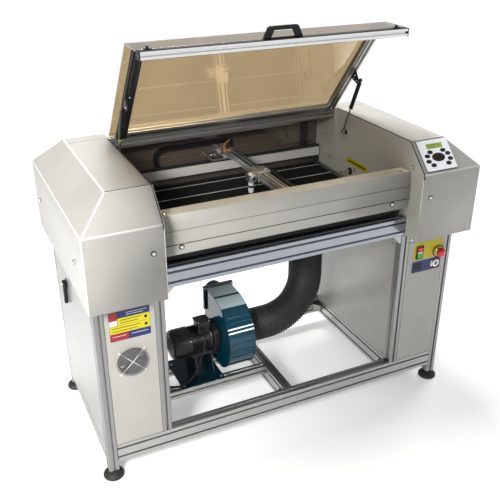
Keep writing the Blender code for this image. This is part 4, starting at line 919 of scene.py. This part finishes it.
def bed():
    """A black tray with thin bright slats and darker ones between them."""
    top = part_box("slat_bed")[1][2]
    wall = 0.006
    (y0, y1), (z0, z1) = BED_Y, BED_WALL_Z
    parts = [box((-BED_X, y0, 0.8655), (BED_X, y1, 0.8685))]
    parts += [box((x, y0, z0), (x + wall, y1, z1)) for x in (-BED_X, BED_X - wall)]
    parts += [box((-0.4839, y, z0), (0.4839, y + wall, z1)) for y in (y0, y1 - wall)]
    add("bed_tray", merge(*parts), BED_BLACK, bevel=0.0006, replaces=("slat_bed",))

    def slat(y, half, low, high):
        return box((-SLAT_X, y - half, low), (SLAT_X, y + half, high))

    rows = [SLAT_BACK_Y - index * SLAT_PITCH for index in range(5)]
    add("bright_slats", merge(*[slat(y, 0.0015, top - 0.0012, top) for y in rows]), SLAT)
    dark = [slat(y, 0.001, 0.8690, top - 0.0013) for y in rows]
    between = [y - part * 0.013 for y in rows for part in range(1, 9)]
    dark += [slat(y, 0.0008, 0.8690, 0.8865) for y in between]
    add("dark_slats", merge(*dark), BED_BLACK)
    edge = [box((x - 0.0015, -0.288, 0.8871), (x + 0.0015, 0.3605, 0.8890)) for x in (-0.4875, 0.4875)]
    add("bed_edge_lines", merge(*edge), METAL_Y)


def rails():
    """The gantry's rails with dark guides, tied by bars beside the bed."""
    paint_node("motion_frame", METAL_DARK)
    for label, y0, y1 in (("rear", 0.3522, 0.3728), ("front", -0.2928, -0.2722)):
        # The covers are light grey, lightened further with the lighter paint copy: painted light against the shade
        # they lie in.
        add(f"{label}_rail_cover", box((-0.5128, y0, 0.9197), (0.5128, y1, 0.9603)), PAINT_LIT, bevel=0.0008)
        guide = slab([(y0 + 0.003, 0.9603), (y1 - 0.003, 0.9603), (y1 - 0.005, 0.9722), (y0 + 0.005, 0.9722)], "X",
                     -0.5120, 0.5120)
        add(f"{label}_guide", guide, METAL_DARK, bevel=0.0006)
    for side in (-1, 1):
        x = side * 0.5025
        add(f"side_bar_line_{side}", box((x - 0.0045, -0.290, 0.8888), (x + 0.0045, 0.370, 0.8898)), METAL_Y)


def gantry():
    """The beam with its strips, the carriages with their fasteners and the chain's bracket."""
    outline = [(0.032, 0.982), (0.072, 0.982), (0.072, 1.012), (0.0665, 1.012), (0.0665, 1.009), (0.0585, 1.009),
               (0.0585, 1.012), (0.0455, 1.012), (0.0455, 1.009), (0.0375, 1.009), (0.0375, 1.012), (0.032, 1.012),
               (0.032, 1.001), (0.0345, 1.001), (0.0345, 0.994), (0.032, 0.994)]
    add("beam", slab(outline, "Y", -0.3020, 0.3840), METAL_LIGHT, "gantry", 0.0005, 1, replaces=("gantry_beam",))
    add("beam_strips", merge(box((0.0380, -0.3010, 1.0088), (0.0450, 0.3830, 1.0096)),
                             box((0.0590, -0.3010, 1.0088), (0.0660, 0.3830, 1.0096))), BLACK, "gantry")
    add("beam_end_cap", box((0.0315, 0.3840, 0.9815), (0.0725, 0.3872, 1.0135)), METAL_LIGHT, "gantry", 0.0008)
    add("beam_end_top", box((0.0315, 0.3560, 1.0121), (0.0725, 0.3872, 1.0140)), METAL_LIGHT, "gantry", 0.0006)
    add("beam_front_cap", box((0.0315, -0.3045, 0.9815), (0.0725, -0.3020, 1.0125)), BLACK, "gantry", 0.0008)
    add("rear_carriage", box((-0.045, 0.3330, 0.9740), (0.090, 0.3870, 0.9818)), METAL_LIGHT, "gantry", 0.001)
    add("front_carriage", box((0.005, -0.3020, 0.9740), (0.099, -0.2600, 0.9818)), METAL_LIGHT, "gantry", 0.001)
    add("rear_block", box((-0.042, 0.3420, 0.9818), (0.012, 0.3780, 0.9905)), BLACK_SATIN, "gantry", 0.001)
    spots = [(x, y, 0.9905) for x in (-0.035, -0.018, 0.004) for y in (0.348, 0.372)]
    bolts("rear_block_bolts", spots, (0, 0, 1), 0.0045, body="gantry")
    places = ((-0.037, 0.346), (-0.024, 0.350), (-0.030, 0.374))
    pegs = [rod((x, y, 0.9900), (x, y, 1.0010), 0.0028, 16) for x, y in places]
    add("rear_pegs", merge(*pegs), STEEL, "gantry")
    bolts("front_carriage_bolts", [(x, -0.281, 0.9818) for x in (0.016, 0.086)], (0, 0, 1), 0.0045, body="gantry")
    post = slab([(0.052, 1.012), (0.072, 1.012), (0.0685, 1.052), (0.058, 1.060), (0.046, 1.060), (0.046, 1.036),
                 (0.054, 1.034)], "Y", 0.3735, 0.3900)
    add("chain_bracket", post, BLACK_SATIN, "gantry", 0.001)
    bolts("chain_bracket_bolt", [(0.0555, 0.3735, 1.048)], (0, -1, 0), 0.0045, body="gantry")
    tube("beam_hose", [(0.052, 0.371, 1.046), (0.038, 0.362, 1.044), (0.020, 0.352, 1.036), (0.014, 0.345, 1.022),
                       (0.028, 0.338, 1.014), (0.046, 0.332, 1.013)], 0.0042, AMBER, "gantry")
    tray = [(0.098, 0.976), (0.120, 0.976), (0.120, 0.990), (0.118, 0.990), (0.118, 0.978), (0.100, 0.978),
            (0.100, 0.990), (0.098, 0.990)]
    add("side_tray", slab(tray, "Y", -0.2960, 0.1000), BLACK, "gantry", 0.0003, 1)
    add("tray_arm", box((0.0722, -0.2950, 0.9765), (0.0982, -0.2650, 0.9815)), BLACK, "gantry", 0.0006)
    add("tray_arm_back", box((0.0722, 0.0700, 0.9765), (0.0982, 0.0900, 0.9815)), BLACK, "gantry", 0.0006)
    starts = [-0.290 + index * CHAIN_PITCH for index in range(26)]
    links = [box((0.1005, y, 0.9785), (0.1175, y + 0.0125, 0.9985)) for y in starts]
    add("side_chain", merge(*links), BLACK, "gantry", 0.0012)


def head():
    """The saddle over the beam with its bolts, the mirror mount and the focus tube."""
    top = slab(rounded_rectangle((0.0235, 0.0070), (0.0805, 0.0830), 0.003), "Z", 1.0128, 1.0200)
    add("head_plate", top, METAL_LIGHT, "head", 0.001, 2, replaces=("head_carriage",))
    add("head_left_plate", box((0.0240, 0.0080, 0.9765), (0.0307, 0.0820, 1.0127)), METAL_LIGHT, "head", 0.001)
    add("head_right_plate", box((0.0733, 0.0080, 0.9765), (0.0800, 0.0820, 1.0127)), BLACK_SATIN, "head", 0.001)
    bolts("head_top_bolts", [(x, y, 1.0200) for x in (0.066, 0.075) for y in (0.017, 0.036)], (0, 0, 1), 0.0042,
          body="head")
    bolts("head_side_bolts", [(0.0240, y, z) for y in (0.068, 0.078) for z in (0.985, 1.004)], (-1, 0, 0), 0.003,
          body="head")
    add("head_arm", box((0.0802, 0.0300, 1.0030), (0.1200, 0.0620, 1.0065)), BLACK, "head", 0.0008)
    mount = slab(rounded_rectangle((-0.013, 0.978), (0.024, 1.010), 0.004), "Y", 0.0180, 0.0240)
    add("mirror_plate", mount, METAL_LIGHT, "head", 0.001)
    add("lens_holder", merge(box((-0.0128, 0.0242, 0.9780), (-0.0085, 0.0555, 1.0080)),
                             box((0.0165, 0.0242, 0.9780), (0.0238, 0.0555, 1.0080)),
                             box((-0.0084, 0.0505, 0.9780), (0.0164, 0.0555, 1.0080))), METAL_LIGHT, "head", 0.001)
    ring = turned([(0.0062, 0.0045), (0.0100, 0.0045), (0.0112, 0.0030), (0.0112, 0), (0.0062, 0)],
                  (0.0075, 0.0180, 0.9940), (0, -1, 0))
    add("mirror_ring", ring, STEEL, "head")
    add("mirror_face", rod((0.0075, 0.0178, 0.9940), (0.0075, 0.0172, 0.9940), 0.0062, 32), BLACK, "head")
    corners = ((-0.0085, 1.005), (0.0195, 1.005), (0.0195, 0.983))
    bolts("mirror_bolts", [(x, 0.0180, z) for x, z in corners], (0, -1, 0), 0.0026, body="head")
    tube_profile = [(0, 1.0110), (0.0085, 1.0110), (0.0085, 0.9790), (0.0118, 0.9780), (0.0118, 0.9560),
                    (0.0108, 0.9550), (0.0108, 0.9520), (0.0118, 0.9510), (0.0118, 0.9310), (0.0105, 0.9285),
                    (0.0070, 0.9250), (0.0050, 0.9230), (0, 0.9230)]
    add("focus_tube", turned(tube_profile, (0.004, 0.0375, 0), (0, 0, 1), 64), WHITE_METAL, "lens",
        replaces=("lens_tube",))
    add("focus_nut", turned([(0.0119, 0.9600), (0.0130, 0.9590), (0.0130, 0.9510), (0.0119, 0.9500)],
                            (0.004, 0.0375, 0), (0, 0, 1), 24), METAL_DARK, "lens")
    tube("air_line", [(0.0135, 0.0300, 0.9450), (0.0180, 0.0225, 0.9480), (0.0205, 0.0130, 0.9600),
                      (0.0205, 0.0110, 0.9800), (0.0205, 0.0110, 1.0000)], 0.002, BLACK, "lens")


def chain():
    """The cable chain, link by link, in three stretches: lower run, bend and upper run."""
    y0, y1 = 0.3735, 0.3905
    centre = Vector((-0.2458, 0.9994))
    radius = 0.046
    pitch = CHAIN_PITCH
    upper_end, lower_end = 0.0455, -0.020

    def link(x, z, angle):
        place = Matrix.Translation((x, 0, z)) @ Matrix.Rotation(-angle, 4, "Y")
        shape = merge(box((-pitch * 0.47, y0, -0.0075), (pitch * 0.47, y1, 0.0075)),
                      box((-pitch * 0.18, y0 - 0.0002, -0.0080), (pitch * 0.18, y1 + 0.0002, 0.0080)))
        shape.transform(place)
        return shape

    def run(start, end, z):
        count = round(abs(end - start) / pitch)
        step = (end - start) / count
        return [link(start + step * (index + 0.5), z, 0) for index in range(count)]

    upper = merge(*run(centre.x, upper_end, centre.y + radius))
    upper = add("chain_upper", upper, BLACK, "", replaces=("drag_chain",))
    lower = add("chain_lower", merge(*run(centre.x, lower_end, centre.y - radius)), BLACK, "")
    bends = []
    count = 10
    for index in range(count):
        angle = math.pi / 2 + math.pi * (index + 0.5) / count
        x, z = centre.x + radius * math.cos(angle), centre.y + radius * math.sin(angle)
        bends.append(link(x, z, angle + math.pi / 2))
    bend = add("chain_bend", merge(*bends), BLACK, "")
    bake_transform(upper)
    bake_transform(lower)
    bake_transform(bend)


# --- Blower ----------------------------------------------------------------------------------------

def spiral(shrink, last_angle, steps=72):
    points = []
    for index in range(steps + 1):
        angle = 270 + (last_angle - 270) * index / steps
        radius = 0.130 + 0.045 * max(0.0, angle) / 270 - shrink
        turn = math.radians(angle)
        points.append((BLOWER_Y + radius * math.cos(turn), BLOWER_Z - radius * math.sin(turn)))
    return points


def scroll():
    """The cast scroll with rimmed side faces, step ribs, outlet flange and spigot."""
    outer = [(0.1035, BLOWER_Z + 0.175), *spiral(0.001, -39.7), (0.1035, BLOWER_Z + 0.083)]
    add("scroll_body", slab(outer, "X", SCROLL_X[0] + 0.004, SCROLL_X[1] - 0.004), TEAL, bevel=0.003, segments=3,
        replaces=("blower_scroll",))
    rim = [(0.1030, BLOWER_Z + 0.1755), *spiral(-0.0005, -39.0), (0.1030, BLOWER_Z + 0.083)]
    add("scroll_left_rim", slab(rim, "X", SCROLL_X[0], SCROLL_X[0] + 0.006), TEAL, bevel=0.0018, segments=3)
    add("scroll_right_rim", slab(rim, "X", SCROLL_X[1] - 0.006, SCROLL_X[1]), TEAL, bevel=0.0018, segments=3)
    for index, angle in enumerate((232, 224, 190, 178, 166)):
        turn = math.radians(angle)
        radius = 0.130 + 0.045 * angle / 270
        rib = box((SCROLL_X[0] + 0.010, -0.004, -0.003), (SCROLL_X[1] - 0.010, 0.004, 0.0035))
        place = (Matrix.Translation((0, BLOWER_Y + radius * math.cos(turn), BLOWER_Z - radius * math.sin(turn)))
                 @ Matrix.Rotation(-turn - math.pi / 2, 4, "X"))
        add(f"scroll_rib_{index}", rib, TEAL, bevel=0.0014, place=place)
    # Painted highlight: the flat outlet cover and the curved crest take the pale teal copy, for the top light's sheen
    # on the scroll's top.
    cover = box((SCROLL_X[0] + 0.001, 0.0200, BLOWER_Z + 0.1748), (SCROLL_X[1] - 0.001, 0.1025, BLOWER_Z + 0.1762))
    add("outlet_top", cover, TEAL_LIT, bevel=0.0005)
    crest = [*spiral(-0.0008, 248.0, 8), *reversed(spiral(0.0006, 248.0, 8))]
    add("outlet_crest", slab(crest, "X", SCROLL_X[0] + 0.001, SCROLL_X[1] - 0.001), TEAL_LIT)
    flange = box((SCROLL_X[0] - 0.010, 0.1030, 0.375), (SCROLL_X[1] + 0.010, 0.1175, 0.490))
    add("outlet_flange", flange, BLACK_SATIN, bevel=0.0015)
    spots = [(x, 0.1028, z) for x in (SCROLL_X[0] - 0.004, SCROLL_X[1] + 0.004) for z in (0.384, 0.481)]
    bolts("flange_bolts", spots, (0, -1, 0), 0.0042)
    middle = sum(SCROLL_X) / 2
    wall = [(0.038, 0), (0.038, 0.0548), (0.041, 0.0548), (0.041, 0.0480), (0.0418, 0.0460), (0.0418, 0.0420),
            (0.041, 0.0400), (0.041, 0)]
    add("outlet_spigot", turned(wall, (middle, 0.1176, 0.434), (0, 1, 0)), TEAL)
    add("inlet_collar", turned([(0.0595, 0), (0.0595, 0.006), (0.074, 0.006), (0.078, 0.003), (0.078, 0)],
                               (SCROLL_X[1] - 0.001, BLOWER_Y, BLOWER_Z), (1, 0, 0), 64), TEAL)
    paint_node("blower_impeller", METAL_DARK)


def motor():
    """A totally enclosed motor: fan cowl, fins, end bell and terminal box, on a gusseted base."""
    axis = (1, 0, 0)
    cowl = [(0, 0.0), (0.030, 0.0003), (0.055, 0.003), (0.0632, 0.010), (0.0660, 0.020), (0.0660, 0.0850),
            (0.0630, 0.0862), (0, 0.0862)]
    add("motor_cowl", turned(cowl, (-0.400, BLOWER_Y, BLOWER_Z), axis, 64), MOTOR_BLACK, replaces=("blower_motor",))
    grille = [turned(ring_section(radius - 0.0016, radius + 0.0016, -0.0008, 0.0006), (-0.4003, BLOWER_Y, BLOWER_Z),
                     (-1, 0, 0), 40) for radius in (0.012, 0.019, 0.026)]
    add("cowl_grille", merge(*grille), METAL_DARK)
    bell = [(0, 0), (0.052, 0), (0.056, 0.004), (0.060, 0.012), (0.075, 0.018), (0.075, 0.040), (0.071, 0.047),
            (0, 0.047)]
    add("motor_bell", turned(bell, (-0.2345, BLOWER_Y, BLOWER_Z), axis, 64), MOTOR_BLACK)
    fins = [rod((-0.3145, BLOWER_Y, BLOWER_Z), (-0.233, BLOWER_Y, BLOWER_Z), 0.053, 48)]
    count = 36
    for index in range(count):
        fin = box((-0.312, -0.0011, 0.050), (-0.2355, 0.0011, 0.0625))
        turn = Matrix.Rotation(2 * math.pi * index / count, 4, "X")
        fin.transform(Matrix.Translation((0, BLOWER_Y, BLOWER_Z)) @ turn)
        fins.append(fin)
    add("motor_fins", merge(*fins), MOTOR_BLACK, bevel=0.0006, segments=1)
    add("terminal_box", box((-0.281, BLOWER_Y - 0.042, 0.350), (-0.225, BLOWER_Y + 0.018, 0.3950)), MOTOR_BLACK,
        bevel=0.004, segments=3)
    add("terminal_lid", box((-0.284, BLOWER_Y - 0.045, 0.3952), (-0.222, BLOWER_Y + 0.021, 0.4070)), MOTOR_BLACK,
        bevel=0.003, segments=3)
    bolts("terminal_screws", [(x, BLOWER_Y + dy, 0.4070) for x in (-0.277, -0.229) for dy in (-0.037, 0.013)],
          (0, 0, 1), 0.0035)
    turn = math.radians(150)
    bolts("cowl_screws", [(-0.322, BLOWER_Y + 0.066 * math.cos(turn), BLOWER_Z + 0.066 * math.sin(turn))],
          (0, -0.87, 0.5), 0.004)
    gland = [(0, 0.016), (0.0045, 0.016), (0.0085, 0.012), (0.0095, 0.010), (0.0095, 0), (0, 0)]
    add("cable_gland", turned(gland, (-0.260, BLOWER_Y - 0.042, 0.372), (0, -1, 0)), BLACK)
    # Painted shade: the base is painted like the scroll, darkened where it sits under the motor.
    plate = box((-0.390, -0.1225, RAIL_TOP_Z), (-0.195, 0.0975, RAIL_TOP_Z + 0.0042))
    add("base_plate", plate, TEAL_SHADED, bevel=0.001)
    for index, x in enumerate((-0.300, -0.225)):
        upright = [(BLOWER_Y - 0.074, RAIL_TOP_Z + 0.004), (BLOWER_Y + 0.074, RAIL_TOP_Z + 0.004),
                   (BLOWER_Y + 0.042, BLOWER_Z - 0.046), (BLOWER_Y - 0.042, BLOWER_Z - 0.046)]
        add(f"base_gusset_{index}", slab(upright, "X", x - 0.004, x + 0.004), TEAL_SHADED, bevel=0.0015)
    saddle = box((-0.312, BLOWER_Y - 0.046, BLOWER_Z - 0.062), (-0.212, BLOWER_Y + 0.046, BLOWER_Z - 0.045))
    add("base_saddle", saddle, MOTOR_BLACK, bevel=0.002)
    spots = [(x, y, RAIL_TOP_Z + 0.0042) for x in (-0.378, -0.207) for y in (-0.1065, 0.0615)]
    bolts("base_bolts", spots, (0, 0, 1), 0.0055)


def hose():
    """The corrugated hose: a wall that swells at every turn of its wire."""
    radius, bend, x_up = 0.0742, 0.195, 0.255
    start = SCROLL_X[1] + 0.0006
    path = []
    straight = x_up - bend - start
    rise = 0.7898 - (BLOWER_Z + bend)
    arc = math.pi / 2 * bend
    total = straight + arc + rise
    pitch = 0.0105
    per_wave = 6
    steps = round(total / pitch) * per_wave
    for index in range(steps + 1):
        run = total * index / steps
        if run < straight:
            x, z, turn = start + run, BLOWER_Z, 0.0
        elif run < straight + arc:
            turn = (run - straight) / bend
            x, z = x_up - bend + bend * math.sin(turn), BLOWER_Z + bend * (1 - math.cos(turn))
        else:
            x, z, turn = x_up, BLOWER_Z + bend + run - straight - arc, math.pi / 2
        swell = 0.0024 * math.sin(2 * math.pi * index / per_wave)
        path.append((x, z, turn, radius - 0.0016 + swell))
    shape = bmesh.new()
    sides = 56
    rings = []
    for x, z, turn, wide in path:
        ring = []
        for side in range(sides):
            angle = 2 * math.pi * side / sides
            outward = wide * math.cos(angle)
            ring.append(shape.verts.new((x + outward * math.sin(turn), BLOWER_Y + wide * math.sin(angle),
                                         z - outward * math.cos(turn))))
        rings.append(ring)
    for first, second in zip(rings, rings[1:]):
        for side in range(sides):
            after = (side + 1) % sides
            shape.faces.new((first[side], first[after], second[after], second[side]))
    piece = add("hose", shape, HOSE, replaces=("exhaust_duct",))
    piece.data.set_sharp_from_angle(angle=math.radians(180))
    clamp = ring_section(0.0745, 0.0758, 0, 0.010)
    add("hose_clamp_low", turned(clamp, (start + 0.004, BLOWER_Y, BLOWER_Z), (1, 0, 0), 64), STEEL)
    add("hose_clamp_top", turned(clamp, (x_up, BLOWER_Y, 0.772), (0, 0, 1), 64), STEEL)


def motor_cable():
    """The blower's lead, from its gland down over the rail to the left pedestal's inner sheet."""
    points = [(-0.260, -0.052, 0.372), (-0.262, -0.078, 0.364), (-0.275, -0.094, 0.320), (-0.300, -0.098, 0.250),
              (-0.330, -0.104, 0.190), (-0.375, -0.112, 0.166), (-0.430, -0.098, 0.162), (-0.475, -0.070, 0.172),
              (-0.500, -0.050, 0.190), (-0.5134, -0.045, 0.196)]
    tube("blower_cable", points, 0.0042, BLACK)
    add("cable_bush", turned([(0.0045, 0.004), (0.009, 0.004), (0.011, 0), (0.0045, 0)], (-0.5135, -0.045, 0.196),
                             (1, 0, 0)), BLACK)


def latch():
    """The wing handle on the left side panel."""
    paint_node("panel_latch", BLACK)
    y, z = 0.1075, 0.650
    base = [(0, 0.0012), (0.020, 0.0012), (0.022, 0), (0, 0)]
    add("latch_base", turned(base, (-0.7755, y, z), (-1, 0, 0)), BLACK)
    half = [(0.0135, 0.660), (0.0175, 0.646), (0.0110, 0.612), (0.0075, 0.560)]
    wing = [(y + reach, height) for reach, height in half]
    wing += [(y - reach, height) for reach, height in reversed(half)]
    add("latch_wing", slab(wing, "X", -0.7918, -0.7770), BLACK, "side_latch", 0.004, 3, replaces=("panel_latch",))
    pin = [(0, 0.0022), (0.0050, 0.0022), (0.0065, 0), (0, 0)]
    add("latch_pin", turned(pin, (-0.7918, y, z), (-1, 0, 0)), STEEL, "side_latch")


# --- Studio ----------------------------------------------------------------------------------------

def camera():
    lens = bpy.data.cameras.new("camera")
    lens.lens = 51.1
    lens.sensor_width = 36.0
    piece = new_object("camera", lens)
    piece.location = (-1.1729, -2.4332, 2.0263)
    piece.rotation_euler = (math.radians(90 - 26.53), 0, math.radians(-25.38))
    bpy.context.scene.camera = piece


def area_light(name, location, target, size, power, spread_angle=180, colour=(1, 1, 1), height=None):
    lamp = bpy.data.lights.new(name, "AREA")
    lamp.size = size
    if height is not None:
        lamp.shape = "RECTANGLE"
        lamp.size_y = height
    lamp.energy = power
    lamp.color = colour
    lamp.spread = math.radians(spread_angle)
    piece = new_object(name, lamp)
    piece.location = location
    piece.rotation_euler = (Vector(target) - Vector(location)).to_track_quat("-Z", "Y").to_euler()
    piece.visible_camera = False


def sky():
    """A white horizon that darkens overhead, so that metal and gloss have something to mirror."""
    world = bpy.data.worlds.new("studio")
    bpy.context.scene.world = world
    world.use_nodes = True
    nodes, links = world.node_tree.nodes, world.node_tree.links
    place = nodes.new("ShaderNodeTexCoord")
    split = nodes.new("ShaderNodeSeparateXYZ")
    links.new(place.outputs["Generated"], split.inputs["Vector"])
    stops = [(0.0, (1.0, 1.0, 1.0)), (0.30, (0.85, 0.86, 0.88)), (0.60, (0.34, 0.35, 0.37)),
             (1.0, (0.60, 0.60, 0.60))]
    links.new(ramp(nodes, links, split.outputs["Z"], stops), nodes["Background"].inputs["Color"])
    nodes["Background"].inputs["Strength"].default_value = 0.50


def studio():
    sky()
    area_light("key", (-2.5, -2.6, 2.7), (-1.30, -0.30, 0.75), 0.8, 24, 52, (1.0, 0.985, 0.955))
    area_light("fill", (3.2, 1.3, 2.6), (0.7, 0, 0.9), 1.6, 16, 90)
    for label, height in (("low", 0.88), ("high", 1.32)):
        area_light(f"strip_{label}", (0.56, -1.87, height), (-0.125, -0.155, 0.34), 0.5, 0.14, 24, height=0.14)
    area_light("top", (0.1, 0.7, 3.4), (0, 0, 0.9), 1.4, 54, 110)
    bpy.context.scene.view_settings.view_transform = "Standard"
    floor = bmesh.new()
    bmesh.ops.create_grid(floor, x_segments=1, y_segments=1, size=40)
    made, nodes, links, shader = new_material("studio floor")
    cloud = textured(nodes, links, "ShaderNodeTexNoise", 1.5)
    links.new(ramp(nodes, links, cloud, [(0.3, (0.84, 0.84, 0.84)), (0.7, (0.87, 0.87, 0.87))]),
              shader.inputs["Base Color"])
    shader.inputs["Roughness"].default_value = 0.7
    place = nodes.new("ShaderNodeTexCoord")
    away = nodes.new("ShaderNodeVectorMath")
    away.operation = "LENGTH"
    links.new(place.outputs["Object"], away.inputs[0])
    glow = nodes.new("ShaderNodeMapRange")
    glow.interpolation_type = "SMOOTHSTEP"
    for socket, value in (("From Min", 0.8), ("From Max", 3.4), ("To Min", 0.30), ("To Max", 0.80)):
        glow.inputs[socket].default_value = value
    links.new(away.outputs["Value"], glow.inputs["Value"])
    links.new(glow.outputs["Result"], shader.inputs["Emission Strength"])
    shader.inputs["Emission Color"].default_value = (1, 1, 1, 1)
    piece = new_object("floor", smooth_mesh("floor", floor, 32, made))
    piece.location = (0, 0, -0.0005)


# --- The whole scene -------------------------------------------------------------------------------

camera()
studio()
paint_node("floor_pan", PAINT_DARK)
base()
for label, direction in (("left", -1), ("right", 1)):
    pedestal(label, direction)
    housing(label, direction)
feet()
beams()
opening_brackets()
inner_walls()
fascia()
back()
panels()
fan_guard()
generic_label()
switches()
keypad()
lid()
struts()
bed()
rails()
gantry()
head()
chain()
scroll()
motor()
hose()
motor_cable()
latch()
